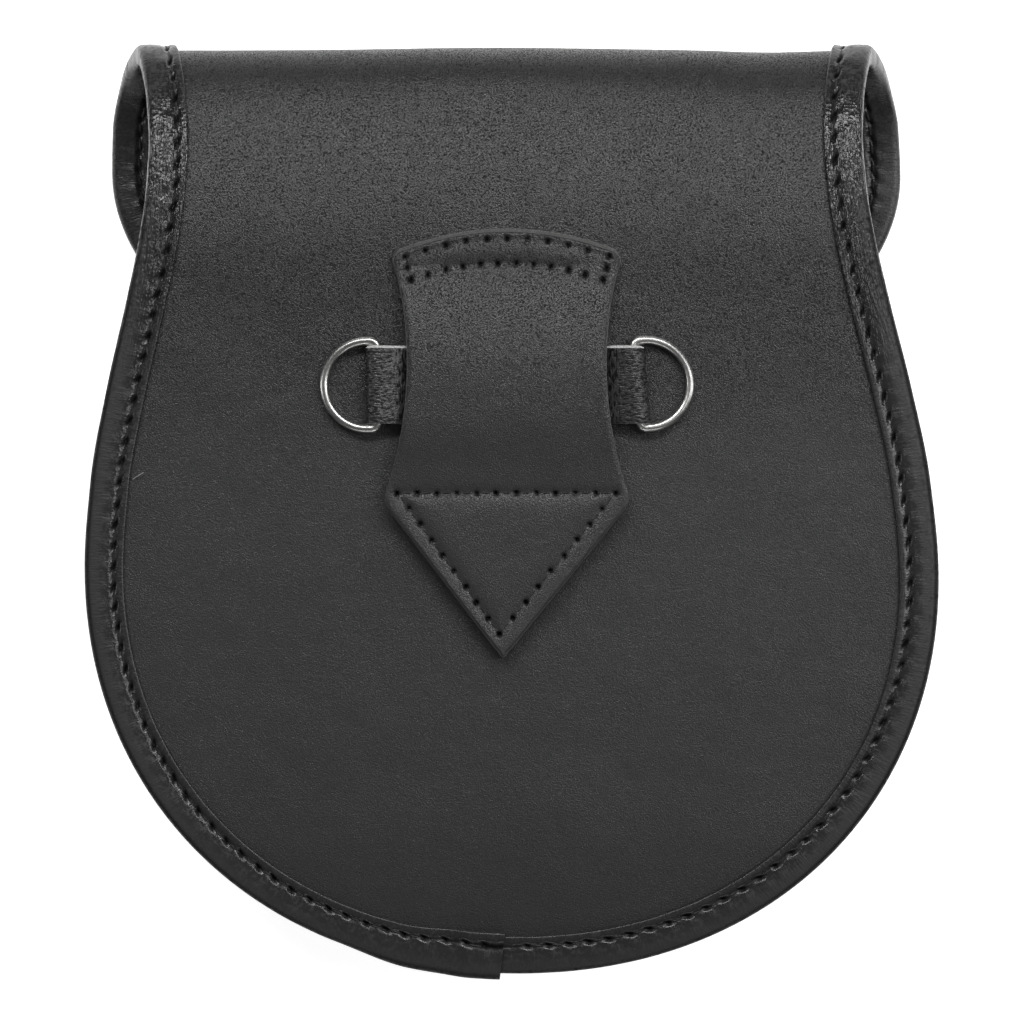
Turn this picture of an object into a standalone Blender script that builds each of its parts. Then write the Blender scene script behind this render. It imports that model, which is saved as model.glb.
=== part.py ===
"""A sporran pouch in black leather, lying on its front with its back panel up.

One piece of leather makes the back panel, the fold over the top and the flap on the front.
It is drawn flat, as it is cut, and then bent along the fold line. Flat, a point has a place
across (x), a place along the leather from the bottom tip, and a height over the grain side.

X runs across the pouch, +Y runs from the round bottom to the folded top, and +Z points out
of the back panel. The origin is under the middle of the pouch, on the surface it lies on.
"""

import math

import bmesh
import bpy
import numpy as np
from mathutils import Matrix, Vector
from mathutils.geometry import interpolate_bezier

MM = 0.001
GAP = 0.3 * MM  # between pieces that touch

# Leather
LEATHER = 2.4 * MM  # back panel, fold and flap
BACK_Z = 37.0 * MM  # grain side of the back panel over the surface
TIP_Y = -96.3 * MM  # bottom end of the back panel
DROOP_START_Y = -61.0 * MM  # below this the back panel bends down a little
DROOP = 2.8 * MM
TAIL = 6.0 * MM  # how far the fold line is carried past both tips

# The fold over the top, as the corner points of two Bezier curves in Y and Z
FOLD_START_Y = 53.0 * MM
FOLD_TOP_Y = 98.8 * MM
FOLD_TOP_Z = 19.5 * MM
FOLD_BACK_HANDLES = ((76.0 * MM, BACK_Z), (FOLD_TOP_Y, 31.5 * MM))
FOLD_FRONT_HANDLES = ((FOLD_TOP_Y, 11.0 * MM), (92.0 * MM, 0.2 * MM))
FOLD_END_Y = 73.0 * MM
CURVE_STEPS = 60

# The outline of the flat leather
BOTTOM_LENGTH = 84.0 * MM  # from the bottom tip up to the widest place
BOTTOM_HALF_WIDTH = 88.7 * MM
BOTTOM_POWER = 2.11  # 2 would be an ellipse
FLAP_LENGTH = 52.0 * MM  # from the flap's widest place down to its tip
FLAP_HALF_WIDTH = 84.8 * MM
FLAP_POWER = 1.95
SIDE = (  # place along the leather, half its width there
    (84.0 * MM, 88.7 * MM),
    (103.0 * MM, 87.2 * MM),
    (122.0 * MM, 83.6 * MM),
    (141.0 * MM, 79.1 * MM),
    (154.0 * MM, 76.3 * MM),
    (165.0 * MM, 74.7 * MM),
    (175.0 * MM, 74.15 * MM),
    (184.0 * MM, 74.7 * MM),
    (192.0 * MM, 75.9 * MM),
    (203.0 * MM, 78.2 * MM),
    (216.0 * MM, 82.2 * MM),
    (227.0 * MM, 84.4 * MM),
    (238.0 * MM, 84.8 * MM),
)
LEAN_AT_MIDDLE = -0.25 * MM  # the hand-cut outline leans to one side
LEAN = -0.0135  # sideways for each unit of height
TIP_ANGLES = (0.0, 1.5, 6.0, 10.5, 19.0, 28.0, 37.0, 46.0, 55.0, 64.0, 73.0, 82.0)
SIDE_STEP = 8.0 * MM
FOLD_STEP = 2.5 * MM
PANEL_COLUMNS = 8

# The flap is flattened in its middle, and its bound rim stands clear of the surface
RIM_LIFT = 1.3 * MM
RIM_FLAT_SHARE = 0.35
RIM_RAISED_SHARE = 0.85
LIFT_FADE = (212.0 * MM, 236.0 * MM)

# The binding, folded round the edge of the leather
BINDING = 0.8 * MM
BINDING_ARM = 7.3 * MM  # from the leather's edge inwards
BINDING_ROUND = 1.3 * MM
RIDE = BINDING + GAP  # where the last end lies over the first
LONGER_ARM = 0.9 * MM  # of the last end, on the back

# Gusset and front panel
GUSSET = 1.4 * MM
GUSSET_FLANGE_INSET = 1.2 * MM
WALL_BACK_INSET = 9.0 * MM
WALL_FRONT_INSET = 10.8 * MM
FRONT_FLANGE_INSET = 18.5 * MM
MOUTH_ALONG = 160.0 * MM  # the gusset ends here
CHANNEL_CLOSES = 9.0 * MM  # length over which the binding narrows past the gusset
FRONT = 2.0 * MM
FRONT_INSET = 10.0 * MM
FRONT_RIM_Z = 7.0 * MM  # outer face of the front panel at its edge
FRONT_TOP_Y = 60.0 * MM
BELLY = (  # place in Y, height of the middle as a share of FRONT_RIM_Z
    (-87.7 * MM, 1.00),
    (-81.0 * MM, 0.55),
    (-72.0 * MM, 0.16),
    (-63.0 * MM, 0.00),
    (-10.0 * MM, 0.00),
    (-2.0 * MM, 0.07),
    (8.0 * MM, 0.34),
    (17.0 * MM, 0.70),
    (24.0 * MM, 0.81),
    (60.0 * MM, 0.84),
)
FRONT_COLUMNS = 10
FRONT_STEP = 8.0 * MM

# Belt loop
LOOP = 2.2 * MM
LOOP_X = -1.1 * MM
LOOP_TIP = (-0.8 * MM, -30.5 * MM)
LOOP_LOWER_CORNER = (25.9 * MM, 2.2 * MM)
LOOP_TOP_CORNER = (23.9 * MM, 53.8 * MM)
LOOP_SIDE_SAG = 4.3 * MM
LOOP_TOP_RISE = 4.9 * MM
LOOP_CORNER_ROUND = 3.0 * MM
LOOP_PEAK_Y = 32.0 * MM
LOOP_RISE = 6.2 * MM
LOOP_FLATNESS = 2.5  # 2 would be a parabola
LOOP_REACH_UP = 15.0 * MM
LOOP_REACH_DOWN = 29.0 * MM
LOOP_CUT_STEP = 3.0 * MM

# Ring strap and rings
STRAP = 1.2 * MM
STRAP_HALF_WIDTH = 7.9 * MM
STRAP_Y = 26.0 * MM
EYE = 1.25 * MM  # radius inside the strap's fold
PINCH = 6.5 * MM  # from the ring's bar to where the two layers meet
WIRE = 0.78 * MM  # radius
RING_ARC = 9.2 * MM
RING_BAR_TO_CENTRE = 2.2 * MM
RING_CORNER = 1.6 * MM
RING_DIP = 7.0  # degrees down from the bar, to just over the panel
RINGS = {
    "d_ring_left": {"bar_x": -28.1 * MM, "side": -1, "slant": 1.0},
    "d_ring_right": {"bar_x": 26.0 * MM, "side": 1, "slant": 5.0},
}

# Snap between the flap and the front panel
SNAP_RADIUS = 6.0 * MM
SNAP_Y = 40.0 * MM
SNAP_Z = (3.95 * MM, 5.3 * MM)

MATERIALS = {
    "panel_leather": {"colour": (0.036, 0.036, 0.037), "roughness": 0.55, "metallic": 0.0},
    "binding_leather": {"colour": (0.026, 0.026, 0.027), "roughness": 0.42, "metallic": 0.0},
    "nickel": {"colour": (0.72, 0.71, 0.69), "roughness": 0.18, "metallic": 1.0},
}


# Curves and the flat pattern


def smooth(share):
    """0 to 1 with a soft start and end."""
    share = min(max(share, 0.0), 1.0)
    return share * share * (3 - 2 * share)


def spread(first, last, step):
    """Evenly spaced values from first to last, no further apart than step."""
    return list(np.linspace(first, last, max(2, math.ceil(abs(last - first) / step) + 1)))


def curve_through(rows, value):
    """A soft curve through a table's two columns, read at value, level at both ends."""
    places = [row[0] for row in rows]
    heights = [row[1] for row in rows]
    steps = np.diff(heights) / np.diff(places)
    inner = [2 * a * b / (a + b) if a * b > 0 else 0.0 for a, b in zip(steps, steps[1:])]
    slopes = [0.0, *inner, 0.0]
    i = min(max(int(np.searchsorted(places, value)) - 1, 0), len(rows) - 2)
    width = places[i + 1] - places[i]
    t = min(max((value - places[i]) / width, 0.0), 1.0)
    from_first = (1 + 2 * t) * (1 - t) ** 2 * heights[i] + t * (1 - t) ** 2 * width * slopes[i]
    from_last = t * t * (3 - 2 * t) * heights[i + 1] - t * t * (1 - t) * width * slopes[i + 1]
    return from_first + from_last


def bezier(start, handles, end):
    corners = [Vector((y, z, 0)) for y, z in (start, *handles, end)]
    return [(p.x, p.y) for p in interpolate_bezier(*corners, CURVE_STEPS)]


def droop_z(y):
    share = max(0.0, (DROOP_START_Y - y) / (DROOP_START_Y - TIP_Y))
    return BACK_Z - DROOP * share**2


def fold_line():
    """The grain side from below the bottom tip, over the top and past the flap's tip, as (y, z)."""
    back = [(y, droop_z(y)) for y in spread(TIP_Y - TAIL, DROOP_START_Y, 3 * MM)]
    top = (FOLD_TOP_Y, FOLD_TOP_Z)
    over_back = bezier((FOLD_START_Y, BACK_Z), FOLD_BACK_HANDLES, top)
    over_front = bezier(top, FOLD_FRONT_HANDLES, (FOLD_END_Y, 0.0))
    return back + over_back + over_front[1:] + [(FOLD_END_Y - FLAP_LENGTH - 3 * TAIL, 0.0)]


LINE = np.array(fold_line())
FOLD_START = len(LINE) - 2 * CURVE_STEPS  # the row of LINE where the fold begins
BACK_LINE = LINE[: FOLD_START + CURVE_STEPS]  # up to the top of the fold
LINE_LENGTH = np.concatenate([[0.0], np.cumsum(np.linalg.norm(np.diff(LINE, axis=0), axis=1))])
LINE_ALONG = LINE_LENGTH - np.interp(TIP_Y, LINE[:5, 0], LINE_LENGTH[:5])
FLAP_WIDE_ALONG = SIDE[-1][0]
FLAP_TIP_ALONG = FLAP_WIDE_ALONG + FLAP_LENGTH


def line_at(along):
    return Vector((np.interp(along, LINE_ALONG, LINE[:, 0]), np.interp(along, LINE_ALONG, LINE[:, 1])))


def rim_lift(x, along):
    """How far the flap is raised off the surface, from 0 in its middle to RIM_LIFT at its rim."""
    down = max(0.0, along - FLAP_WIDE_ALONG) / FLAP_LENGTH
    across = abs(x - lean_at(FOLD_END_Y)) / FLAP_HALF_WIDTH
    share = (math.hypot(across, down) - RIM_FLAT_SHARE) / (RIM_RAISED_SHARE - RIM_FLAT_SHARE)
    fade = (along - LIFT_FADE[0]) / (LIFT_FADE[1] - LIFT_FADE[0])
    return RIM_LIFT * smooth(share) * smooth(fade)


def folded(x, along, height):
    """Where a point of the flat leather is once the leather is folded."""
    place = line_at(along)
    step = 0.5 * MM
    travel = (line_at(along + step) - line_at(along - step)).normalized()
    outwards = Vector((-travel.y, travel.x))
    place += outwards * (height - rim_lift(x, along))
    return Vector((x, place.x, place.y))


def lean_at(y):
    return LEAN_AT_MIDDLE + LEAN * y


def half_width_at(along):
    if along <= BOTTOM_LENGTH:
        share = max(0.0, 1 - along / BOTTOM_LENGTH)
        return BOTTOM_HALF_WIDTH * (1 - share**BOTTOM_POWER) ** (1 / BOTTOM_POWER)
    if along <= FLAP_WIDE_ALONG:
        return curve_through(SIDE, along)
    share = min(1.0, (along - FLAP_WIDE_ALONG) / FLAP_LENGTH)
    return FLAP_HALF_WIDTH * (1 - share**FLAP_POWER) ** (1 / FLAP_POWER)


def stations():
    """Places along the leather, close together at both round ends and over the fold."""
    turns = [math.cos(math.radians(a)) for a in TIP_ANGLES]
    bottom = [BOTTOM_LENGTH * (1 - c ** (2 / BOTTOM_POWER)) for c in turns]
    flap = [FLAP_TIP_ALONG - FLAP_LENGTH * (1 - c ** (2 / FLAP_POWER)) for c in turns]
    fold_start = LINE_ALONG[FOLD_START]
    side = spread(BOTTOM_LENGTH, fold_start, SIDE_STEP)
    fold = spread(fold_start, FLAP_WIDE_ALONG, FOLD_STEP)
    return bottom + side + fold[1:] + flap[::-1]


STATIONS = stations()


def rim_points():
    """The edge of the flat leather as (x, along), up the right side and down the left."""
    rows = [(along, half_width_at(along), lean_at(line_at(along).x)) for along in STATIONS]
    right = [Vector((lean + half, along)) for along, half, lean in rows]
    left = [Vector((lean - half, along)) for along, half, lean in rows[1:-1]]
    return right + left[::-1]


def outward_normals(points):
    """The in-plane normal at each point of a closed outline that runs anticlockwise."""
    ahead = points[1:] + points[:1]
    behind = points[-1:] + points[:-1]
    travel = [(a - b).normalized() for a, b in zip(ahead, behind)]
    return [Vector((t.y, -t.x)) for t in travel]


# Building meshes


def finished(name, bm, material):
    """Turns a bmesh into an object with its material."""
    mesh = bpy.data.meshes.new(name)
    bm.to_mesh(mesh)
    bm.free()
    mesh.materials.append(material)
    obj = bpy.data.objects.new(name, mesh)
    bpy.context.scene.collection.objects.link(obj)
    return obj


def sheet(rows, columns, place):
    """A grid bent into place: place(u, row) gives a point, with u from -1 to 1 across."""
    bm = bmesh.new()
    last = len(rows) - 1
    bmesh.ops.create_grid(bm, x_segments=columns, y_segments=last, size=1.0)
    for vert in bm.verts:
        row = round((vert.co.y + 1) / 2 * last)
        vert.co = place(vert.co.x, rows[row])
    bmesh.ops.remove_doubles(bm, verts=bm.verts, dist=0.01 * MM)
    return bm


def thicken(obj, thickness, offset):
    modifier = obj.modifiers.new("Thickness", "SOLIDIFY")
    modifier.thickness = thickness
    modifier.offset = offset
    modifier.use_even_offset = True
    return obj


def sweep(sections):
    """A solid through closed sections that have the same number of points."""
    bm = bmesh.new()
    face = bm.faces.new([bm.verts.new(p) for p in sections[0]])
    for section in sections[1:]:
        made = bmesh.ops.extrude_face_region(bm, geom=[face, *face.edges, *face.verts])["geom"]
        face = next(g for g in made if isinstance(g, bmesh.types.BMFace))
        for vert, point in zip(face.verts, section):
            vert.co = point
    bmesh.ops.recalc_face_normals(bm, faces=bm.faces)
    return bm


def round_corner(before, corner, after, radius, steps=4):
    """The points of an arc that rounds off a corner between two straight runs."""
    to_before = (before - corner).normalized()
    to_after = (after - corner).normalized()
    half = to_before.angle(to_after) / 2
    centre = corner + (to_before + to_after).normalized() * radius / math.sin(half)
    start = corner + to_before * radius / math.tan(half) - centre
    end = corner + to_after * radius / math.tan(half) - centre
    return [centre + radius * start.slerp(end, i / steps).normalized() for i in range(steps + 1)]


def arc_between(first, last, sag, steps):
    """An arc from first to last whose middle lies sag to the left of the straight line."""
    chord = last - first
    left = Vector((-chord.y, chord.x)).normalized()
    radius = (chord.length**2 / 4 + sag**2) / (2 * sag)
    centre = (first + last) / 2 + left * (sag - radius)
    start = first - centre
    turn = 2 * math.asin(chord.length / (2 * abs(radius))) * (-1 if sag > 0 else 1)
    return [centre + Matrix.Rotation(turn * i / steps, 2) @ start for i in range(steps + 1)]


# The pieces


def back_and_flap(material):
    """The one piece of leather that is back panel, fold and flap."""

    def place(u, along):
        return folded(lean_at(line_at(along).x) + u * half_width_at(along), along, 0.0)

    bm = sheet(STATIONS, PANEL_COLUMNS, place)
    return thicken(finished("back_and_flap", bm, material), LEATHER, -1.0)


def channel_depth(along):
    """Depth of the binding's channel: it also holds the gusset's flange where there is one."""
    with_flange = LEATHER + GAP + GUSSET + GAP
    alone = LEATHER + GAP
    past = (along - MOUTH_ALONG) / CHANNEL_CLOSES
    return with_flange + (alone - with_flange) * smooth(past)


def binding_section(point, normal, ride, longer):
    """The folded strip's cross-section, as (outwards, height) pairs set on the rim."""
    low = -channel_depth(point.y) - ride
    top = GAP + ride
    wall = GAP + ride
    arm = -BINDING_ARM
    edge = wall + BINDING
    top_out = top + BINDING
    low_out = low - BINDING
    soft = 0.3 * BINDING_ROUND
    pairs = (
        (arm - longer, top),
        (arm - longer, top_out),
        (edge - BINDING_ROUND, top_out),
        (edge - soft, top_out - soft),
        (edge, top_out - BINDING_ROUND),
        (edge, low_out + BINDING_ROUND),
        (edge - soft, low_out + soft),
        (edge - BINDING_ROUND, low_out),
        (arm, low_out),
        (arm, low),
        (wall, low),
        (wall, top),
    )
    flat = [(point + normal * out, height) for out, height in pairs]
    return [folded(p.x, p.y, height) for p, height in flat]


def edge_binding(material):
    """A strip folded round the whole edge, its last end lying over its first at the bottom."""
    rim = rim_points()
    normals = outward_normals(rim)
    count = len(rim)
    tucked = [count - 2, count - 1]
    order = [(i, 0.0, 0.0) for i in tucked + list(range(count - 2))]
    order += [(i, RIDE, LONGER_ARM) for i in tucked]
    sections = [binding_section(rim[i], normals[i], ride, longer) for i, ride, longer in order]
    return finished("edge_binding", sweep(sections), material)


def pouch_rim():
    """The back panel's edge around the pouch, in X and Y, from the right side of the mouth."""
    rows = [along for along in STATIONS if along < MOUTH_ALONG] + [MOUTH_ALONG]
    places = [(half_width_at(along), line_at(along).x) for along in rows]
    right = [Vector((lean_at(y) + half, y)) for half, y in places]
    left = [Vector((lean_at(y) - half, y)) for half, y in places[1:]]
    return right[::-1] + left


def back_z(y):
    """Height of the back panel's grain side over a place on the pouch."""
    return float(np.interp(y, BACK_LINE[:, 0], BACK_LINE[:, 1]))


def gusset(material):
    """The side wall of the pouch, with a flange under the binding and one inside the front."""
    rim = pouch_rim()
    ahead = rim[1:] + rim[-1:]
    behind = rim[:1] + rim[:-1]
    under_back = LEATHER + GAP
    front_z = FRONT_RIM_Z + FRONT + GAP
    sections = []
    for point, a, b in zip(rim, ahead, behind):
        travel = (a - b).normalized()
        inwards = Vector((travel.y, -travel.x))
        outer_back = point + inwards * WALL_BACK_INSET
        flange = point + inwards * GUSSET_FLANGE_INSET
        inner_back = point + inwards * (WALL_BACK_INSET + GUSSET)
        outer_front = point + inwards * WALL_FRONT_INSET
        inner_front = point + inwards * (WALL_FRONT_INSET + GUSSET)
        lip = point + inwards * FRONT_FLANGE_INSET
        sections.append(
            [
                Vector((*flange, back_z(flange.y) - under_back)),
                Vector((*flange, back_z(flange.y) - under_back - GUSSET)),
                Vector((*outer_back, back_z(outer_back.y) - under_back - GUSSET)),
                Vector((*outer_front, front_z)),
                Vector((*lip, front_z)),
                Vector((*lip, front_z + GUSSET)),
                Vector((*inner_front, front_z + GUSSET)),
                Vector((*inner_back, back_z(inner_back.y) - under_back)),
            ]
        )
    return finished("gusset", sweep(sections), material)


def front_half_width(y):
    """The front panel follows the back panel's outline, set in by FRONT_INSET."""
    along = y - TIP_Y
    if along >= BOTTOM_LENGTH:
        return half_width_at(along) - FRONT_INSET
    share = min(1.0, (BOTTOM_LENGTH - along) / (BOTTOM_LENGTH - FRONT_INSET))
    widest = BOTTOM_HALF_WIDTH - FRONT_INSET
    return widest * (1 - share**BOTTOM_POWER) ** (1 / BOTTOM_POWER)


def front_panel(material):
    """The front of the pouch, flat where it rests and rising to its sewn edge."""
    bottom = TIP_Y + FRONT_INSET
    widest = TIP_Y + BOTTOM_LENGTH
    turns = [math.cos(math.radians(a)) for a in TIP_ANGLES]
    rows = [bottom + (widest - bottom) * (1 - c ** (2 / BOTTOM_POWER)) for c in turns]
    rows += spread(widest, FRONT_TOP_Y, FRONT_STEP)

    def place(u, y):
        middle = FRONT_RIM_Z * curve_through(BELLY, y)
        z = middle + (FRONT_RIM_Z - middle) * u**4
        return Vector((lean_at(y) + u * front_half_width(y), y, z))

    return thicken(finished("front_panel", sheet(rows, FRONT_COLUMNS, place), material), FRONT, 1.0)


def loop_outline():
    """The belt loop as it is cut: an arched top, waisted sides and a pointed tail."""
    tip = Vector(LOOP_TIP)
    low = Vector(LOOP_LOWER_CORNER)
    top = Vector(LOOP_TOP_CORNER)
    side = arc_between(low, top, LOOP_SIDE_SAG, 12)
    crown = arc_between(top, Vector((-top.x, top.y)), -LOOP_TOP_RISE, 12)
    low_round = round_corner(tip, low, side[2], LOOP_CORNER_ROUND)
    top_round = round_corner(side[-3], top, crown[2], LOOP_CORNER_ROUND)
    right = low_round + side[2:-2] + top_round + crown[2:7]
    left = [Vector((-p.x, p.y)) for p in right[::-1][1:]]
    return [tip] + right + left


def loop_rise(y):
    """How far the belt loop stands off the back panel between its two sewn ends."""
    reach = LOOP_REACH_UP if y > LOOP_PEAK_Y else LOOP_REACH_DOWN
    share = min(1.0, abs(y - LOOP_PEAK_Y) / reach)
    return LOOP_RISE * (1 - share**LOOP_FLATNESS)


def belt_loop(material):
    """A shaped tab sewn down at both ends, cut flat and then arched."""
    bm = bmesh.new()
    bm.faces.new([bm.verts.new((p.x + LOOP_X, p.y, 0)) for p in loop_outline()])
    lowest = LOOP_PEAK_Y - LOOP_REACH_DOWN
    highest = LOOP_PEAK_Y + LOOP_REACH_UP
    for y in spread(lowest, highest, LOOP_CUT_STEP):
        whole = list(bm.verts) + list(bm.edges) + list(bm.faces)
        bmesh.ops.bisect_plane(bm, geom=whole, plane_co=(0, y, 0), plane_no=(0, 1, 0), dist=0.01 * MM)
    for vert in bm.verts:
        vert.co.z = back_z(vert.co.y) + GAP + loop_rise(vert.co.y)
    return thicken(finished("belt_loop", bm, material), LOOP, 1.0)


def strap_end(bar_x, side):
    """The middle line of one end of the strap, over the ring's bar and back under it."""
    radius = EYE + STRAP / 2
    layer_z = BACK_Z + GAP + STRAP / 2
    eye_z = layer_z + radius
    upper_z = layer_z + STRAP + GAP
    pinch = Vector((bar_x - side * PINCH, upper_z))
    over = [Vector((bar_x + side * radius * math.sin(a), eye_z + radius * math.cos(a))) for a in turns_over()]
    return [pinch] + over + [Vector((pinch.x, layer_z))]


def turns_over():
    """Angles from just short of the top of the eye round to its bottom."""
    return [math.radians(a) for a in range(-30, 181, 30)]


def ring_strap(material):
    """One narrow strap folded round the bars of both rings, sewn down under the belt loop."""
    left = strap_end(RINGS["d_ring_left"]["bar_x"], -1)
    right = strap_end(RINGS["d_ring_right"]["bar_x"], 1)
    bm = bmesh.new()
    verts = [bm.verts.new((p.x, STRAP_Y - STRAP_HALF_WIDTH, p.y)) for p in right + left[::-1]]
    edges = [bm.edges.new((a, b)) for a, b in zip(verts, verts[1:] + verts[:1])]
    made = bmesh.ops.extrude_edge_only(bm, edges=edges)["geom"]
    far = [g for g in made if isinstance(g, bmesh.types.BMVert)]
    bmesh.ops.translate(bm, verts=far, vec=(0, 2 * STRAP_HALF_WIDTH, 0))
    for ring in RINGS.values():
        slant = math.tan(math.radians(ring["slant"]))
        start = ring["bar_x"] - ring["side"] * PINCH
        ended = [v for v in bm.verts if (v.co.x - start) * ring["side"] > -0.01 * MM]
        for vert in ended:
            vert.co.x -= (vert.co.y - STRAP_Y) * slant
    obj = finished("ring_strap", bm, material)
    return thicken(obj, STRAP, 0.0)


def ring_path(side):
    """The ring's middle line: a round bow closed by a straight bar at x = 0."""
    bow = Vector((side * RING_BAR_TO_CENTRE, 0))
    angles = [math.radians(a) for a in range(-90, 91, 12)]
    arc = [bow + RING_ARC * Vector((side * math.cos(a), math.sin(a))) for a in angles]
    corner_y = RING_ARC - RING_CORNER
    bends = [math.radians(a) for a in range(0, 91, 18)]
    top = [Vector((side * RING_CORNER * (1 - math.sin(a)), corner_y + RING_CORNER * math.cos(a))) for a in bends]
    bottom = [Vector((p.x, -p.y)) for p in top[::-1]]
    return arc + top + bottom


def d_ring(name, material):
    """A wire ring whose bar lies in the strap's fold, parented to an empty on the bar."""
    ring = RINGS[name]
    pivot = bpy.data.objects.new(name + "_axis", None)
    bpy.context.scene.collection.objects.link(pivot)
    eye_z = BACK_Z + GAP + STRAP + EYE
    pivot.location = (ring["bar_x"], STRAP_Y, eye_z)
    dip = Matrix.Rotation(math.radians(ring["side"] * RING_DIP), 4, "Y")
    slant = Matrix.Rotation(math.radians(ring["slant"]), 4, "Z")
    pivot.rotation_euler = (slant @ dip).to_euler()
    curve = bpy.data.curves.new(name, "CURVE")
    curve.dimensions = "3D"
    curve.bevel_depth = WIRE
    curve.bevel_resolution = 3
    path = ring_path(ring["side"])
    spline = curve.splines.new("POLY")
    spline.points.add(len(path) - 1)
    for point, place in zip(spline.points, path):
        point.co = (place.x, place.y, 0, 1)
    spline.use_cyclic_u = True
    curve.materials.append(material)
    obj = bpy.data.objects.new(name, curve)
    bpy.context.scene.collection.objects.link(obj)
    obj.parent = pivot
    return obj


def snap_fastener(material):
    """The hidden closure between flap and front panel, as one plain disc."""
    low, high = SNAP_Z
    bm = bmesh.new()
    bmesh.ops.create_cone(
        bm, cap_ends=True, segments=24, radius1=SNAP_RADIUS, radius2=SNAP_RADIUS, depth=high - low
    )
    bmesh.ops.translate(bm, verts=bm.verts, vec=(lean_at(SNAP_Y), SNAP_Y, (low + high) / 2))
    return finished("snap_fastener", bm, material)


def make_materials():
    made = {}
    for name, look in MATERIALS.items():
        material = bpy.data.materials.new(name)
        material.use_nodes = True
        shader = material.node_tree.nodes["Principled BSDF"]
        shader.inputs["Base Color"].default_value = (*look["colour"], 1)
        shader.inputs["Roughness"].default_value = look["roughness"]
        shader.inputs["Metallic"].default_value = look["metallic"]
        made[name] = material
    return made


def main():
    for obj in list(bpy.data.objects):
        bpy.data.objects.remove(obj)
    looks = make_materials()
    back_and_flap(looks["panel_leather"])
    edge_binding(looks["binding_leather"])
    gusset(looks["binding_leather"])
    front_panel(looks["panel_leather"])
    belt_loop(looks["panel_leather"])
    ring_strap(looks["binding_leather"])
    for name in RINGS:
        d_ring(name, looks["nickel"])
    snap_fastener(looks["nickel"])


main()
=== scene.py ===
"""A black leather sporran pouch, seen from the back, as an add-on that builds it piece by piece.

The hide that makes the back panel, the fold and the flap is drawn flat, as it is cut, and bent
along the fold line. On the flat hide a point has a place across (x), a place along the leather
from the bottom tip, and a height over the grain side. The rim is measured from the bottom tip,
up the right side, round the flap and down the left side.
"""

import math

import bmesh
import bpy
import numpy as np
from bmesh.types import BMEdge, BMFace, BMVert
from bpy.props import FloatProperty, FloatVectorProperty, PointerProperty
from bpy.types import Operator, Panel, PropertyGroup, Scene
from mathutils import Matrix, Vector, noise
from mathutils.geometry import interpolate_bezier


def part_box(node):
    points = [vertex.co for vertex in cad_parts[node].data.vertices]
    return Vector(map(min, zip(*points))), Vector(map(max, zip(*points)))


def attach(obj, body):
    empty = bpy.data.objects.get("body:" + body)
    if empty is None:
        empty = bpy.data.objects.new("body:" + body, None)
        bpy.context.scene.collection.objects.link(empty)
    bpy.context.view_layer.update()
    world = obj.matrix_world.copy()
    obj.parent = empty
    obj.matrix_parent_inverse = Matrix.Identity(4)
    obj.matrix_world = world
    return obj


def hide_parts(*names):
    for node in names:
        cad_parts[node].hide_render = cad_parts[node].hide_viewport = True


bl_info = {
    "name": "Sporran Pouch",
    "version": (1, 0, 0),
    "blender": (4, 5, 0),
    "location": "View3D > Sidebar > Sporran",
    "description": "Builds a leather sporran pouch with its binding, belt loop and rings",
    "category": "Add Mesh",
}

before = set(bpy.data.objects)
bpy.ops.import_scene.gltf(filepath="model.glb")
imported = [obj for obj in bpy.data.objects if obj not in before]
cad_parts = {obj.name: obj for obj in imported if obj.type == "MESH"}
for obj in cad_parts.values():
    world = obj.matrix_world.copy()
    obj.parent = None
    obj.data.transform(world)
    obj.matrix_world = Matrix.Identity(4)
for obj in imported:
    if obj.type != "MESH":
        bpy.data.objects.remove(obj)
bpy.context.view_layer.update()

MM = 0.001
GAP = 0.3 * MM  # between two leathers that are sewn together

# Fold line of the hide, in Y and Z
BACK_Z = 37.0 * MM
TIP_Y = -96.3 * MM
DROOP_START_Y = -61.0 * MM
DROOP = 2.8 * MM  # how far the bottom tip hangs below the flat back
TAIL = 6.0 * MM  # how far the line runs on past the tips
FOLD_START = (53.0 * MM, BACK_Z)
FOLD_TOP = (98.8 * MM, 19.5 * MM)
FOLD_BACK_HANDLES = ((76.0 * MM, BACK_Z), (98.8 * MM, 31.5 * MM))
FOLD_FRONT_HANDLES = ((98.8 * MM, 11.0 * MM), (92.0 * MM, 0.2 * MM))
FOLD_END_Y = 73.0 * MM

# Outline of the flat hide
BOTTOM_LENGTH = 84.0 * MM
BOTTOM_HALF_WIDTH = 88.7 * MM
BOTTOM_POWER = 2.11
FLAP_LENGTH = 52.0 * MM
FLAP_HALF_WIDTH = 84.8 * MM
FLAP_POWER = 1.95
SIDE = (  # place along the leather and half its width there, in millimetres
    (84, 88.7), (103, 87.2), (122, 83.6), (141, 79.1), (154, 76.3), (165, 74.7), (175, 74.15),
    (184, 74.7), (192, 75.9), (203, 78.2), (216, 82.2), (227, 84.4), (238, 84.8),
)
FLAP_WIDE_ALONG = 238.0 * MM
FLAP_TIP_ALONG = FLAP_WIDE_ALONG + FLAP_LENGTH
MOUTH_ALONG = 160.0 * MM  # where the gusset and the front panel end
LEAN_AT_MIDDLE = -0.25 * MM
LEAN = -0.0135  # how far the pouch's middle line leans for each step in Y

# Front panel and gusset
FRONT_RIM_Z = 7.0 * MM
FRONT_INSET = 10 * MM
FRONT_THICKNESS = 2.0 * MM
GUSSET_THICKNESS = 1.4 * MM
BELLY = (  # place in Y in millimetres, and height of the middle as a share of the rim's height
    (-87.7, 1), (-81, 0.55), (-72, 0.16), (-63, 0), (-10, 0),
    (-2, 0.07), (8, 0.34), (17, 0.7), (24, 0.81), (60, 0.84),
)

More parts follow.
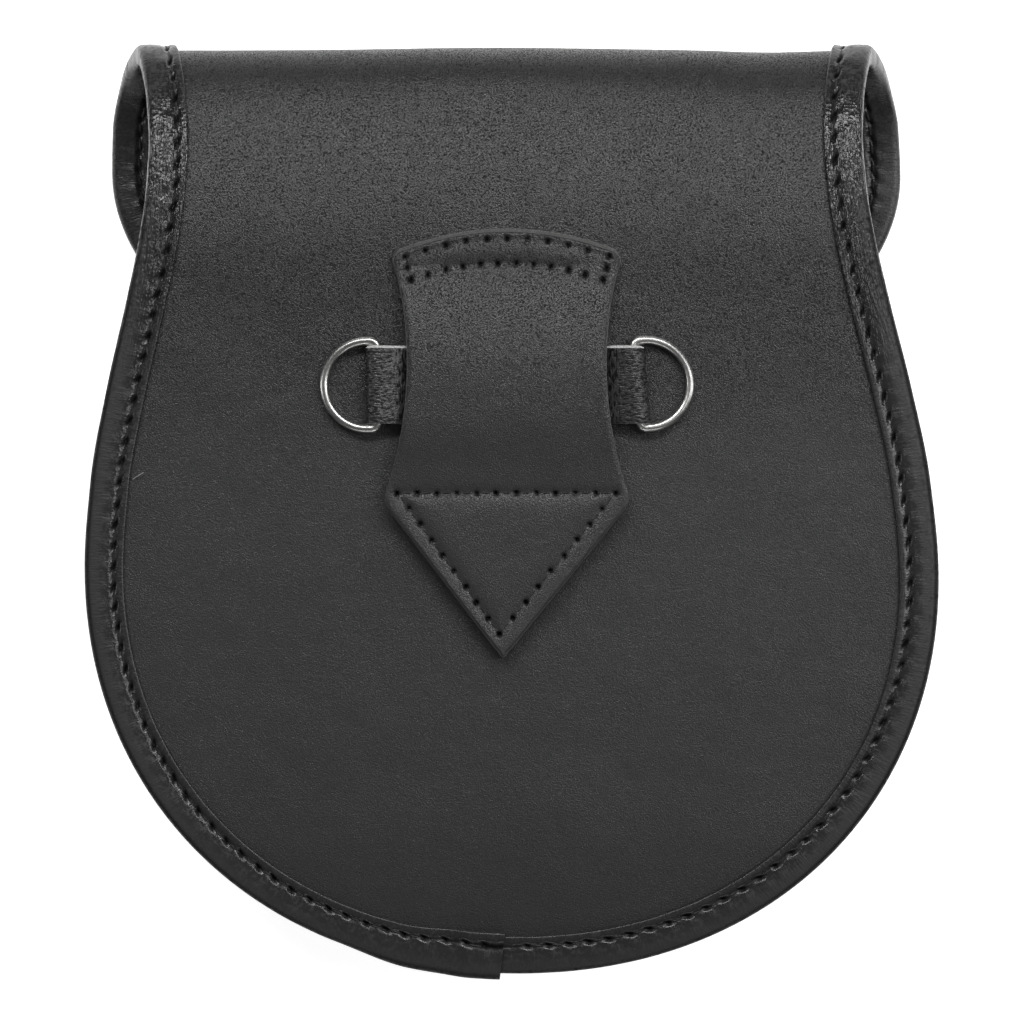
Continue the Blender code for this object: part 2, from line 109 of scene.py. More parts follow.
# Ring strap and rings
STRAP_Y = 26.4 * MM
RING_Y = 26.7 * MM
EYE = 1.25 * MM  # inner radius of the strap's fold round a bar
PINCH = 6.5 * MM  # from the bar to where the strap's layers meet
RINGS = {
    "ring_left": {"node": "d_ring_left", "bar_x": -28.1 * MM, "side": -1, "slant": 1.0},
    "ring_right": {"node": "d_ring_right", "bar_x": 26.0 * MM, "side": 1, "slant": 5.0},
}
RING_DIP = 7.0  # degrees that a ring's bow hangs down

THREAD = 0.27 * MM  # radius
# near-black painted into the stitch holes and the binding's slit: painted shade
HOLE_SHADE = (0.002, 0.002, 0.002)
LOOSE_THREAD_COLOUR = (0.3, 0.3, 0.3)


# Curves


def smooth(share):
    """0 to 1 with a soft start and end."""
    share = np.clip(share, 0.0, 1.0)
    return share * share * (3 - 2 * share)


def bell(value, width, power=2):
    """1 at 0, and about a third where value is width either way."""
    return np.exp(-(np.abs(value / width) ** power))


def row_at(rows, v):
    """The place in a table of rows of v, which runs from 0 to 1."""
    return np.interp(v * (len(rows) - 1), np.arange(len(rows)), rows)


def curve_through(rows, value):
    """A soft curve through a table in millimetres, level at both ends, read at value."""
    places, heights = np.array(rows, float).T
    steps = np.diff(heights) / np.diff(places)
    product = steps[:-1] * steps[1:]
    both = np.where(product > 0, steps[:-1] + steps[1:], 1)
    slopes = np.concatenate([[0.0], np.where(product > 0, 2 * product / both, 0), [0.0]])
    value = np.asarray(value, float) / MM
    i = np.clip(np.searchsorted(places, value) - 1, 0, len(places) - 2)
    width = places[i + 1] - places[i]
    t = np.clip((value - places[i]) / width, 0, 1)
    first = (1 + 2 * t) * (1 - t) ** 2 * heights[i] + t * (1 - t) ** 2 * width * slopes[i]
    last = t * t * (3 - 2 * t) * heights[i + 1] - t * t * (1 - t) * width * slopes[i + 1]
    return (first + last) * MM


def lengths(points):
    """The length of a line of points up to each of them."""
    return np.concatenate([[0], np.cumsum(np.linalg.norm(np.diff(points, axis=0), axis=1))])


def softened(points, count, reach):
    """A line of points run through again in count even steps, its corners rounded over reach."""
    points = np.array(points, float)
    places = lengths(points)
    wanted = np.linspace(0, places[-1], count)
    around = np.clip(wanted[:, None] + np.linspace(-reach, reach, 15), 0, places[-1])
    rounded = np.stack([np.interp(around, places, column).mean(1) for column in points.T], 1)
    rounded[0], rounded[-1] = points[0], points[-1]
    return rounded


def bezier(start, handles, end):
    corners = [Vector((y, z, 0)) for y, z in (start, *handles, end)]
    return [(p.x, p.y) for p in interpolate_bezier(*corners, 300)]


def wander(points, size):
    """Soft noise from about -1 to 1 at each point, with lumps of the given size."""
    return np.array([noise.noise(Vector(p) / size) for p in points])


def scatter(index, seed):
    """A repeatable random number from -1 to 1 for each whole number."""
    return 2 * np.mod(np.sin(index * 12.9898 + seed * 78.233) * 43758.5453, 1) - 1


# The flat hide and its fold


def fold_line():
    y = np.linspace(TIP_Y - TAIL, DROOP_START_Y, 40)
    z = BACK_Z - DROOP * ((DROOP_START_Y - y) / (DROOP_START_Y - TIP_Y)) ** 2
    over_back = bezier(FOLD_START, FOLD_BACK_HANDLES, FOLD_TOP)
    over_front = bezier(FOLD_TOP, FOLD_FRONT_HANDLES, (FOLD_END_Y, 0.0))
    past_tip = (FOLD_END_Y - FLAP_LENGTH - 3 * TAIL, 0.0)
    return np.array([*zip(y, z), *over_back, *over_front[1:], past_tip])


LINE = fold_line()
LINE_LENGTH = lengths(LINE)
LINE_ALONG = LINE_LENGTH - np.interp(TIP_Y, LINE[:30, 0], LINE_LENGTH[:30])
TOP_ROW = int(np.argmax(LINE[:, 0]))


def line_at(along):
    return np.interp(along, LINE_ALONG, LINE[:, 0]), np.interp(along, LINE_ALONG, LINE[:, 1])


def back_z(y):
    """Height of the back panel's grain side over a place on the pouch."""
    return np.interp(y, LINE[: TOP_ROW + 1, 0], LINE[: TOP_ROW + 1, 1])


def lean_at(y):
    return LEAN_AT_MIDDLE + LEAN * y


def superellipse(share, power):
    return (1 - np.clip(share, 0, 1) ** power) ** (1 / power)


def half_width_at(along):
    bottom = BOTTOM_HALF_WIDTH * superellipse(1 - along / BOTTOM_LENGTH, BOTTOM_POWER)
    flap = FLAP_HALF_WIDTH * superellipse((along - FLAP_WIDE_ALONG) / FLAP_LENGTH, FLAP_POWER)
    side = curve_through(SIDE, along)
    return np.where(along <= BOTTOM_LENGTH, bottom, np.where(along <= FLAP_WIDE_ALONG, side, flap))


def rim_lift(x, along):
    """How far the flap is raised off the surface, from 0 in its middle to its rim."""
    down = np.maximum(0, along - FLAP_WIDE_ALONG) / FLAP_LENGTH
    across = np.abs(x - lean_at(FOLD_END_Y)) / FLAP_HALF_WIDTH
    outwards = smooth((np.hypot(across, down) - 0.35) / 0.5)
    return 1.3 * MM * outwards * smooth((along - 212 * MM) / (24 * MM))


def folded(x, along, height):
    """Where points of the flat hide are once it is folded."""
    y, z = line_at(along)
    ahead, behind = line_at(along + 0.5 * MM), line_at(along - 0.5 * MM)
    dy, dz = ahead[0] - behind[0], ahead[1] - behind[1]
    length = np.hypot(dy, dz)
    out = height - rim_lift(x, along)
    return np.stack([x, y - dz / length * out, z + dy / length * out], 1)


def round_rows(length, power, count):
    """Places from a round end to its widest row, close together at the end."""
    turn = np.cos(np.radians(np.linspace(0, 90, count)))
    return length * (1 - np.clip(turn, 0, 1) ** (2 / power))


def rim_table(rows_at_end, side_step):
    """Rows along the hide, close together at both round ends."""
    bottom = round_rows(BOTTOM_LENGTH, BOTTOM_POWER, rows_at_end)
    flap = FLAP_TIP_ALONG - round_rows(FLAP_LENGTH, FLAP_POWER, rows_at_end)
    side = np.arange(BOTTOM_LENGTH + side_step, FLAP_WIDE_ALONG - side_step / 2, side_step)
    return np.concatenate([bottom, side, flap[::-1]])


def closed_rim():
    """The flat outline as x and along, and the length of rim up to each point."""
    along = rim_table(400, 0.4 * MM)
    half = half_width_at(along)
    lean = lean_at(line_at(along)[0])
    x = np.concatenate([lean + half, (lean - half)[::-1][1:]])
    along = np.concatenate([along, along[::-1][1:]])
    return x, along, lengths(np.stack([x, along], 1))


RIM_X, RIM_ALONG, RIM_PLACE = closed_rim()
RIM_LENGTH = RIM_PLACE[-1]


def rim_at(place):
    place = np.mod(place, RIM_LENGTH)
    return np.interp(place, RIM_PLACE, RIM_X), np.interp(place, RIM_PLACE, RIM_ALONG)


def off_rim(place, out):
    """Points of the flat hide that lie out beyond its rim, or inside where out is negative."""
    x, along = rim_at(place)
    (x1, a1), (x0, a0) = rim_at(place + 0.4 * MM), rim_at(place - 0.4 * MM)
    length = np.hypot(x1 - x0, a1 - a0)
    return x + (a1 - a0) / length * out, along - (x1 - x0) / length * out


def on_rim(place, out, height):
    return folded(*off_rim(place, out), height)


# Building meshes


def bent_grid(columns, rows, place):
    """A grid bent into place: place(u, v) takes arrays from 0 to 1 and returns the points, their
    chart, which is kept as the UV map in metres, and on a sewn piece how deep each lies in a
    hole, from 0 to 1, where the material paints shade."""
    bm = bmesh.new()
    bmesh.ops.create_grid(bm, x_segments=columns, y_segments=rows, size=0.5)
    flat = np.array([vert.co for vert in bm.verts])
    u = np.round((flat[:, 0] + 0.5) * columns) / columns
    v = np.round((flat[:, 1] + 0.5) * rows) / rows
    points, chart, *pits = place(u, v)
    layer = bm.loops.layers.uv.new("UVMap")
    for vert, point in zip(bm.verts, points):
        vert.co = point
    for face in bm.faces:
        for loop in face.loops:
            loop[layer].uv = chart[loop.vert.index]
    if pits:
        layer = bm.verts.layers.float.new("pit")
        for vert, depth in zip(bm.verts, pits[0]):
            vert[layer] = depth
    return bm


def only(kind, geom):
    return [part for part in geom if isinstance(part, kind)]


def weld(bm):
    bmesh.ops.remove_doubles(bm, verts=bm.verts, dist=0.5e-6)


def edge_directions(bm):
    """For each vertex on an open edge of a sheet, its direction off the sheet."""
    found = {}
    for edge in bm.edges:
        if not edge.is_boundary:
            continue
        run = (edge.verts[1].co - edge.verts[0].co).normalized()
        middle = (edge.verts[0].co + edge.verts[1].co) / 2
        off = middle - edge.link_faces[0].calc_center_median()
        off -= run * off.dot(run)
        for vert in edge.verts:
            found[vert] = found.get(vert, Vector()) + off.normalized()
    return {vert: off.normalized() for vert, off in found.items()}


def face_outwards(bm):
    """Turns a sheet over if it faces the inside of the pouch."""
    bm.normal_update()
    inside = Vector((0, 0, BACK_Z / 2))
    away = 0
    for face in bm.faces:
        away += face.calc_area() * face.normal.dot(face.calc_center_median() - inside)
    if away < 0:
        bmesh.ops.reverse_faces(bm, faces=bm.faces)
        bm.normal_update()


def thicken(bm, thickness, cut, reach=None, under=None):
    """Makes a slab of a sheet, with its grain side out. cut holds the (outwards, down) steps of
    its cut edge, scaled by reach where the edge faces a given way, and under puts the inner side
    somewhere of its own. Material 1 is the cut edge and material 2 the inner side."""
    weld(bm)
    face_outwards(bm)
    off = edge_directions(bm)
    widen = {vert: reach(way) if reach else 1.0 for vert, way in off.items()}
    downs = {vert: -vert.normal.copy() for vert in bm.verts}
    starts = {vert: vert.co.copy() for vert in off}
    cut_edges = [edge for edge in bm.edges if edge.is_boundary]
    made = bmesh.ops.duplicate(bm, geom=[*bm.verts, *bm.edges, *bm.faces])
    copies = {vert: made["vert_map"][vert] for vert in downs}
    inner = only(BMFace, made["geom"])
    for vert, copy in copies.items():
        copy.co = under(vert.co) if under else vert.co + downs[vert] * thickness
        if vert in off:
            copy.co += off[vert] * cut[-1][0] * widen[vert]
    bmesh.ops.reverse_faces(bm, faces=inner)
    for face in inner:
        face.material_index = 2
    origin = {vert: vert for vert in off}
    for step in [*cut, None]:
        ring = bmesh.ops.extrude_edge_only(bm, edges=cut_edges)["geom"]
        traced = {}
        for vert in only(BMVert, ring):
            near = (edge.other_vert(vert) for edge in vert.link_edges)
            traced[vert] = next(origin[other] for other in near if other in origin)
        for vert, source in traced.items():
            vert.co = copies[source].co
            if step:
                sideways = off[source] * step[0] * widen[source]
                vert.co = starts[source] + sideways + downs[source] * step[1]
        for face in only(BMFace, ring):
            face.material_index = 1
        origin = traced
        cut_edges = [edge for edge in only(BMEdge, ring) if set(edge.verts) <= set(traced)]
    weld(bm)


def tube(bm, path, ups, radius, sides, closed=False):
    """Adds a round tube along a path. ups is a direction across it, or one for each point."""
    path = np.array(path, float)
    around = [path[-1:], path, path[:1]] if closed else [path[:1], path, path[-1:]]
    around = np.concatenate(around)
    run = around[2:] - around[:-2]
    run /= np.linalg.norm(run, axis=1)[:, None]
    across = np.cross(run, ups)
    across /= np.linalg.norm(across, axis=1)[:, None]
    up = np.cross(across, run)
    rows = len(path) if closed else len(path) - 1
    made = bmesh.ops.create_grid(bm, x_segments=sides, y_segments=rows, size=0.5)["verts"]
    radius = np.broadcast_to(radius, len(path))
    layer = bm.loops.layers.uv.verify()
    for vert in made:
        i = round((vert.co.y + 0.5) * rows)
        turn = 2 * math.pi * (round((vert.co.x + 0.5) * sides) % sides) / sides
        j = i % len(path)
        for loop in vert.link_loops:
            loop[layer].uv = (i / rows, vert.co.x + 0.5)
        vert.co = path[j] + radius[j] * (math.cos(turn) * up[j] + math.sin(turn) * across[j])
    bmesh.ops.remove_doubles(bm, verts=made, dist=0.2e-6)


def linked(name, data):
    """A new object in the scene."""
    obj = bpy.data.objects.new(name, data)
    bpy.context.scene.collection.objects.link(obj)
    return obj


def mesh_of(name, bm, materials):
    mesh = bpy.data.meshes.new(name)
    bm.to_mesh(mesh)
    bm.free()
    for material in materials:
        mesh.materials.append(material)
    return mesh


def finished(name, bm, looks, replaced=None, body="pouch", sharp=50):
    """Turns a bmesh into a piece that rides on a body, in the looks that are named."""
    bmesh.ops.recalc_face_normals(bm, faces=bm.faces)
    for face in bm.faces:
        face.smooth = True
    for edge in bm.edges:
        edge.smooth = edge.calc_face_angle(0) < math.radians(sharp)
    obj = linked(name, mesh_of(name, bm, [look_of(look) for look in looks.split()]))
    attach(obj, body)
    if replaced:
        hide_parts(replaced)


# Materials


class Wire:
    """A shader socket that Python's operators work on: each adds its Math node."""

    def __init__(self, nodes, socket):
        self.nodes = nodes
        self.socket = socket

    def maths(self, operation, first, second=0.0):
        return self.nodes.node("Math", {"operation": operation}, {0: first, 1: second})

    def __add__(self, other):
        return self.maths("ADD", self, other)

    def __sub__(self, other):
        return self.maths("SUBTRACT", self, other)

    def __rsub__(self, other):
        return self.maths("SUBTRACT", other, self)

    def __mul__(self, other):
        return self.maths("MULTIPLY", self, other)

    def __truediv__(self, other):
        return self.maths("DIVIDE", self, other)

    def __abs__(self):
        return self.maths("ABSOLUTE", self)

    __radd__ = __add__
    __rmul__ = __mul__

    def between(self, low, high):
        """0 below low and 1 above high, with a soft start and end."""
        reach = {"Value": self, "From Min": low, "From Max": high}
        return self.nodes.node("MapRange", {"interpolation_type": "SMOOTHSTEP"}, reach)


def set_stops(ramp, stops):
    """Gives a fresh colour ramp its stops, each a position and a brightness."""
    ramp.interpolation = "B_SPLINE"
    ramp.elements.remove(ramp.elements[1])
    for index, (position, light) in enumerate(stops):
        stop = ramp.elements.new(position) if index else ramp.elements[0]
        stop.color = (light, light, light, 1)


def shade(colour, times):
    return tuple(min(1.0, part * times) for part in colour)


class Nodes:
    """A tree of shader nodes that is written as Python expressions."""

    def __init__(self, tree):
        self.tree = tree

    def put(self, socket, value):
        if isinstance(value, Wire):
            self.tree.links.new(value.socket, socket)
        else:
            socket.default_value = value

    def node(self, kind, settings=None, inputs=None, out=0):
        """Adds a node, with its settings first, a ramp's stops among them, and then its inputs."""
        made = self.tree.nodes.new("ShaderNode" + kind)
        for name, value in (settings or {}).items():
            if name == "stops":
                set_stops(made.color_ramp, value)
            else:
                setattr(made, name, value)
        for name, value in (inputs or {}).items():
            self.put(made.inputs[name], value)
        return Wire(self, made.outputs[out])

    def part(self, vector, axis):
        """One of a vector's three parts, named X, Y or Z."""
        return self.node("SeparateXYZ", None, {"Vector": vector}, out=axis)


class Look(Nodes):
    """A material, and the nodes that leather, metal and thread have in common."""

    def __init__(self, name, metallic=0.0):
        self.material = bpy.data.materials.new(name)
        self.material.use_nodes = True
        super().__init__(self.material.node_tree)
        self.shader = self.tree.nodes["Principled BSDF"]
        self.shader.inputs["Metallic"].default_value = metallic

    def place(self):
        return self.node("TexCoord", out="Object")

    def chart(self):
        return self.node("TexCoord", out="UV")

    def stretched(self, vector, scale):
        return self.node("VectorMath", {"operation": "MULTIPLY"}, {0: vector, 1: scale})

    def lumps(self, vector, size, detail=2.0, roughness=0.5, out=0):
        inputs = {"Vector": vector, "Scale": 1 / size, "Detail": detail, "Roughness": roughness}
        return self.node("TexNoise", None, inputs, out)

    def cells(self, vector, size, feature="F1"):
        return self.node("TexVoronoi", {"feature": feature}, {"Vector": vector, "Scale": 1 / size})

    def attribute(self, name):
        return self.node("Attribute", {"attribute_name": name}, out="Fac")

    def tones(self, share, colour, first, second):
        """A colour that goes from one brightness to another."""
        return self.blend(share, shade(colour, first), shade(colour, second))

    def blend(self, share, first, second):
        inputs = {0: share, 6: (*first, 1) if isinstance(first, tuple) else first}
        inputs[7] = (*second, 1) if isinstance(second, tuple) else second
        return self.node("Mix", {"data_type": "RGBA"}, inputs, out=2)

    def bump(self, height, distance, normal=None):
        inputs = {"Height": height, "Distance": distance}
        if normal:
            inputs["Normal"] = normal
        return self.node("Bump", None, inputs)

    def done(self, colour, roughness, normal=None, painted_shade=None):
        """Joins the shader up. The last input, 1 deep in a hole, blackens through Metallic: painted
        shade.
        """
        self.put(self.shader.inputs["Base Color"], colour)
        self.put(self.shader.inputs["Roughness"], roughness)
        if painted_shade:
            self.put(self.shader.inputs["Metallic"], painted_shade)
        if normal:
            self.put(self.shader.inputs["Normal"], normal)
        return self.material


def hide_look(settings):
    """Smooth-tanned hide: fine rounded grain whose creases are rougher and darkened with painted
    shade, more so towards the lit fold, and a little uneven in its polish.
    """
    look = Look("hide_grain")
    place = look.place()
    warp = look.lumps(place, 0.7 * MM, 1.0, out=1)
    reach = (0.4 * MM,) * 3
    bent = look.node("VectorMath", {"operation": "MULTIPLY_ADD"}, {0: warp, 1: reach, 2: place})
    pores = look.lumps(place, settings.grain * 0.6, 2.0, 0.6)
    grain = 1 - look.cells(bent, settings.grain) + pores * 0.45
    cloud = look.lumps(place, 26 * MM, 3.0)
    dulled = look.lumps(place, 5 * MM)
    crease = 1 - grain.between(0.47, 0.9)
    # stretched rises up the back towards the fold, where the key light falls; it deepens the
    # painted crease shade there
    stretched = look.part(place, "Y").between(4 * MM, 44 * MM)
    deep = crease * (stretched * 0.48 + 0.52)
    # painted shade: lighter on the grain's tops, darker in its creases
    colour = look.tones(deep, settings.colour, 1.35, 0.35)
    colour = look.blend(cloud * 0.4, colour, shade(settings.colour, 0.7))
    pit = look.attribute("pit")
    # painted shade: the stitch holes are darkened to near-black
    colour = look.blend(pit, colour, HOLE_SHADE)
    roughness = settings.roughness + crease * 0.4 + (dulled - 0.5) * 0.06
    # painted shade: holes and creases are blackened through Metallic
    painted_shade = 1 - (1 - pit) * (1 - deep * 0.66)
    normal = look.bump(grain, settings.grain_depth)
    return look.done(colour, roughness, look.bump(cloud, 0.5 * MM, normal), painted_shade)


def flesh_look(settings):
    """The inner side of the hide: dyed, matt, with fibres lying along it."""
    look = Look("flesh_side")
    place = look.place()
    fibres = look.lumps(look.stretched(place, (1.0, 0.2, 0.35)), 0.5 * MM, 4.0, 0.7)
    nap = look.lumps(place, 0.9 * MM, 3.0, 0.7)
    colour = look.tones(fibres, settings.colour, 0.35, 1.25)
    normal = look.bump(fibres + nap * 0.6, 0.35 * MM)
    return look.done(colour, 0.86 + (nap - 0.5) * 0.1, normal)


def cut_look(name, colour):
    """A raw cut edge: short grey fibres."""
    look = Look(name)
    place = look.place()
    fibres = look.lumps(place, 0.35 * MM, 4.0, 0.7)
    cloud = look.lumps(place, 4 * MM)
    tone = look.tones(fibres.between(0.3, 0.75), colour, 0.35, 1.5)
    tone = look.blend(cloud * 0.5, tone, shade(colour, 0.5))
    return look.done(tone, 0.82 + (fibres - 0.5) * 0.1, look.bump(fibres, 0.25 * MM))


def binding_look(settings, name="binding_grain", shine=0.5):
    """Thin glossy leather: fine wrinkles across the strip, crinkled by the seam and where the
    strip turns over the fold's shoulder. Its holes, the gaps between its pebbles on the shoulder
    and its turned edge below the fold are blackened: painted shade."""
    look = Look(name)
    look.shader.inputs["Specular IOR Level"].default_value = shine
    place, chart = look.place(), look.chart()
    out = look.part(chart, "Y") / MM
    across, high = look.part(place, "Y") / MM, look.part(place, "Z") / MM
    wrinkles = look.lumps(look.stretched(chart, (1.0, 0.14, 1.0)), 0.42 * MM, 2.0, 0.6)
    creases = look.lumps(look.stretched(chart, (0.14, 1.0, 1.0)), 0.55 * MM, 2.0, 0.6)
    pebbles = 1 - look.cells(chart, 0.62 * MM, "SMOOTH_F1")
    fine = look.lumps(place, 0.3 * MM, 2.0, 0.6)
    cloud = look.lumps(place, 9 * MM)
    ragged = across + (creases - 0.5) * 14
    shoulder = across.between(18, 60) * (1 - ragged.between(82, 92)) * high.between(22, 27)
    seam = 1 - abs(out + 5.0).between(0.7, 1.7)
    low = (1 - across.between(60, 73)) * high.between(18, 22)
    rough = (shoulder + seam * 0.6).between(0.0, 1.0)
    grain = wrinkles * (0.6 - rough * 0.4) + pebbles * rough * 0.8 + fine * 0.3
    grain += creases * shoulder * 3.5
    pit = look.attribute("pit")
    # dull marks the gaps between the pebbles: rougher everywhere, and blackened on the shoulder as
    # painted shade
    dull = 1 - (pebbles + fine * 0.6).between(0.45, 0.95)
    colour = look.tones(cloud, settings.colour, 0.85, 1.1)
    # painted shade: the stitch holes and the slit are darkened to near-black
    colour = look.blend(pit, colour, HOLE_SHADE)
    roughness = settings.roughness - rough * 0.18 + dull * 0.3 + (cloud - 0.5) * 0.03 + pit * 0.5
    roughness += out.between(-3.6, -0.8) * low * 0.24
    # painted shade: the turned edge below the fold is blackened so that it shows no reflection of
    # the bright floor
    turned = out.between(-0.4, 0.4) * low
    painted_shade = 1 - (1 - pit) * (1 - dull * shoulder * 0.85) * (1 - turned * 0.95)
    return look.done(colour, roughness, look.bump(grain, settings.grain_depth), painted_shade)


def strap_look(settings):
    """The thin strap's leather, pebbled and creased along its length where it is pulled, with
    painted shade in its creases and a painted shadow over its middle, beside and under the
    belt loop.
    """
    look = Look("strap_grain")
    place = look.place()
    outer = abs(look.part(place, "X") / MM + 1.0).between(21.5, 25.5)
    across = look.lumps(look.stretched(place, (0.36, 1.0, 0.36)), 0.42 * MM, 1.5, 0.55)
    upright = look.lumps(look.stretched(place, (1.0, 0.3, 0.6)), 0.45 * MM, 1.5, 0.55)
    fine = look.lumps(place, 0.25 * MM)
    grain = across * outer + upright * (1 - outer) + fine * 0.12
    crease = 1 - grain.between(0.42, 0.66)
    # painted shade: lighter on the tops, darker in the creases
    colour = look.tones(crease, settings.colour, 1.3, 0.4)
    roughness = settings.roughness + crease * 0.4
    # blackened through Metallic: painted shade in the creases, and the belt loop's painted shadow
    # on the middle
    painted_shade = (crease * 0.6 + (1 - outer) * 0.3).between(0.0, 1.0)
    return look.done(colour, roughness, look.bump(grain, settings.grain_depth), painted_shade)


def nickel_look(settings):
    """Polished nickel plate with fine handling marks, and a painted dark reflection along the top
    of its wire.
    """
    look = Look("nickel_plate", metallic=1.0)
    place = look.place()
    marks = look.lumps(look.stretched(place, (1.0, 1.0, 0.3)), 0.35 * MM, 4.0, 0.7)
    cloud = look.lumps(place, 3 * MM)
    # crown is the top of the wire; it is darkened as a painted reflection of the dark room overhead
    crown = abs(look.part(look.chart(), "Y") - 0.5).between(0.4, 0.48)
    colour = look.tones(cloud.between(0.35, 0.75), settings.colour, 1, 0.75)
    colour = look.blend(crown * 0.65, colour, shade(settings.colour, 0.2))
    roughness = 0.28 + marks.between(0.45, 0.75) * 0.2
    return look.done(colour, roughness, look.bump(marks, 0.015 * MM))


def thread_look(name, colour):
    """Waxed sewing thread, its strands laid round it."""
    look = Look(name)
    chart = look.chart()
    turns = look.part(chart, "X") * 5 + look.part(chart, "Y")
    twist = look.node("Math", {"operation": "SINE"}, {0: turns * (4 * math.pi)})
    fuzz = look.lumps(look.place(), 0.2 * MM)
    # painted shade: the strands are lighter on their crests and darker between them
    tone = look.tones(twist * 0.5 + 0.5, colour, 0.5, 1.4)
    return look.done(tone, 0.5 + (fuzz - 0.5) * 0.3, look.bump(twist * 0.5 + fuzz, 0.06 * MM))


LOOKS = {}


def look_of(name):
    """The material of that name, made the first time that a piece needs it."""
    scene = bpy.context.scene
    hide, binding, strap = scene.sporran_hide, scene.sporran_binding, scene.sporran_strap
    makers = {
        "hide": lambda: hide_look(hide),
        "flesh": lambda: flesh_look(hide),
        "hide_cut": lambda: cut_look("hide_cut_edge", hide.cut_colour),
        "binding": lambda: binding_look(binding),
        # the outer wall's look, with almost no gloss, so that it stays dark: painted shade
        "rim": lambda: binding_look(binding, "binding_outer_edge", 0.03),
        "binding_cut": lambda: cut_look("binding_cut_edge", binding.cut_colour),
        "strap": lambda: strap_look(strap),
        "strap_cut": lambda: cut_look("strap_cut_edge", strap.cut_colour),
        "nickel": lambda: nickel_look(scene.sporran_rings),
        "thread": lambda: thread_look("waxed_thread", binding.thread_colour),
        "loose_thread": lambda: thread_look("loose_thread", LOOSE_THREAD_COLOUR),
    }
    if name not in LOOKS:
        LOOKS[name] = makers[name]()
    return LOOKS[name]


# Settings


def distance(name, description, default):
    units = {"subtype": "DISTANCE", "unit": "LENGTH"}
    return FloatProperty(name=name, description=description, default=default, min=0, **units)


def tint(name, description, default):
    limits = {"min": 0, "max": 1, "subtype": "COLOR"}
    return FloatVectorProperty(name=name, description=description, default=default, **limits)


def fraction(name, description, default):
    return FloatProperty(name=name, description=description, default=default, min=0, max=1)


def brightness(name, description, default):
    return FloatProperty(name=name, description=description, default=default, min=0)


class HideSettings(PropertyGroup):
    thickness: distance("Thickness", "Thickness of the hide", 2.4 * MM)
    grain: distance("Grain", "Size of the grain's lumps", 0.28 * MM)
    grain_depth: distance("Grain depth", "How deep the grain is pressed", 0.06 * MM)
    colour: tint("Colour", "Colour of the grain side", (0.02, 0.02, 0.0204))
    cut_colour: tint("Cut edge", "Colour of the cut edge's fibres", (0.12, 0.12, 0.118))
    roughness: fraction("Roughness", "Roughness of the grain side", 0.24)


class BindingSettings(PropertyGroup):
    thickness: distance("Thickness", "Thickness of the binding", 0.8 * MM)
    arm: distance("Arm", "Width of the binding from the hide's edge inwards", 7.3 * MM)
    seam: distance("Seam", "Distance of the stitches from the hide's edge", 5.1 * MM)
    pitch: distance("Stitch pitch", "Distance from stitch to stitch", 4.55 * MM)
    grain_depth: distance("Grain depth", "How deep the grain is pressed", 0.13 * MM)
    colour: tint("Colour", "Colour of the binding", (0.015, 0.015, 0.0155))
    cut_colour: tint("Cut edge", "Colour of the cut edge's fibres", (0.045, 0.045, 0.045))
    thread_colour: tint("Thread", "Colour of the sewing thread", (0.006, 0.006, 0.006))
    roughness: fraction("Roughness", "Roughness of the binding", 0.27)


class TabSettings(PropertyGroup):
    thickness: distance("Thickness", "Thickness of the belt loop", 2.2 * MM)
    rise: distance("Rise", "How far the belt loop stands off the panel", 3.65 * MM)
    slant: distance("Slant of the top", "How far the top's cut edge slants out", 0.95 * MM)
    hole: distance("Hole", "Radius of a stitch hole", 0.55 * MM)
    pitch: distance("Stitch pitch", "Distance from stitch to stitch", 4.1 * MM)


class StrapSettings(PropertyGroup):
    thickness: distance("Thickness", "Thickness of the strap", 1.2 * MM)
    width: distance("Width", "Width of the strap", 15.8 * MM)
    grain_depth: distance("Crease depth", "How deep the creases are", 0.26 * MM)
    colour: tint("Colour", "Colour of the strap", (0.026, 0.026, 0.026))
    # the strap's cut edges are light fibre, given a near-white colour so that their top edges read
    # as lit: partly painted highlight
    cut_colour: tint("Cut edge", "Colour of the cut edge's fibres", (0.7, 0.7, 0.69))
    roughness: fraction("Roughness", "Roughness of the strap", 0.26)


class RingSettings(PropertyGroup):
    wire: distance("Wire", "Radius of the wire", 0.94 * MM)
    arc: distance("Bow", "Radius of the ring's bow", 9.2 * MM)
    corner: distance("Corner", "Radius of the bends beside the bar", 1.6 * MM)
    colour: tint("Colour", "Colour of the plating", (0.7, 0.695, 0.68))


class StageSettings(PropertyGroup):
    camera_height: distance("Camera height", "Height of the camera over the floor", 0.937)
    lens: FloatProperty(
        name="Lens", description="Focal length", default=150.67, min=1, subtype="DISTANCE_CAMERA"
    )
    key: brightness("Key", "Brightness of the wide softbox", 12.5)
    side: brightness("Side", "Brightness of the softbox on the right", 4.4)
    fill: brightness("Fill", "Brightness of the low softbox", 1.4)
    ends: brightness("Ends", "Brightness of the low softboxes at both sides", 2.4)
    room: brightness("Room", "Brightness of the room's walls", 0.88)
    glow: brightness("Glow", "Brightness of the lit floor", 0.8)
    floor: tint("Floor", "Colour of the floor", (0.9, 0.9, 0.9))


# Pieces


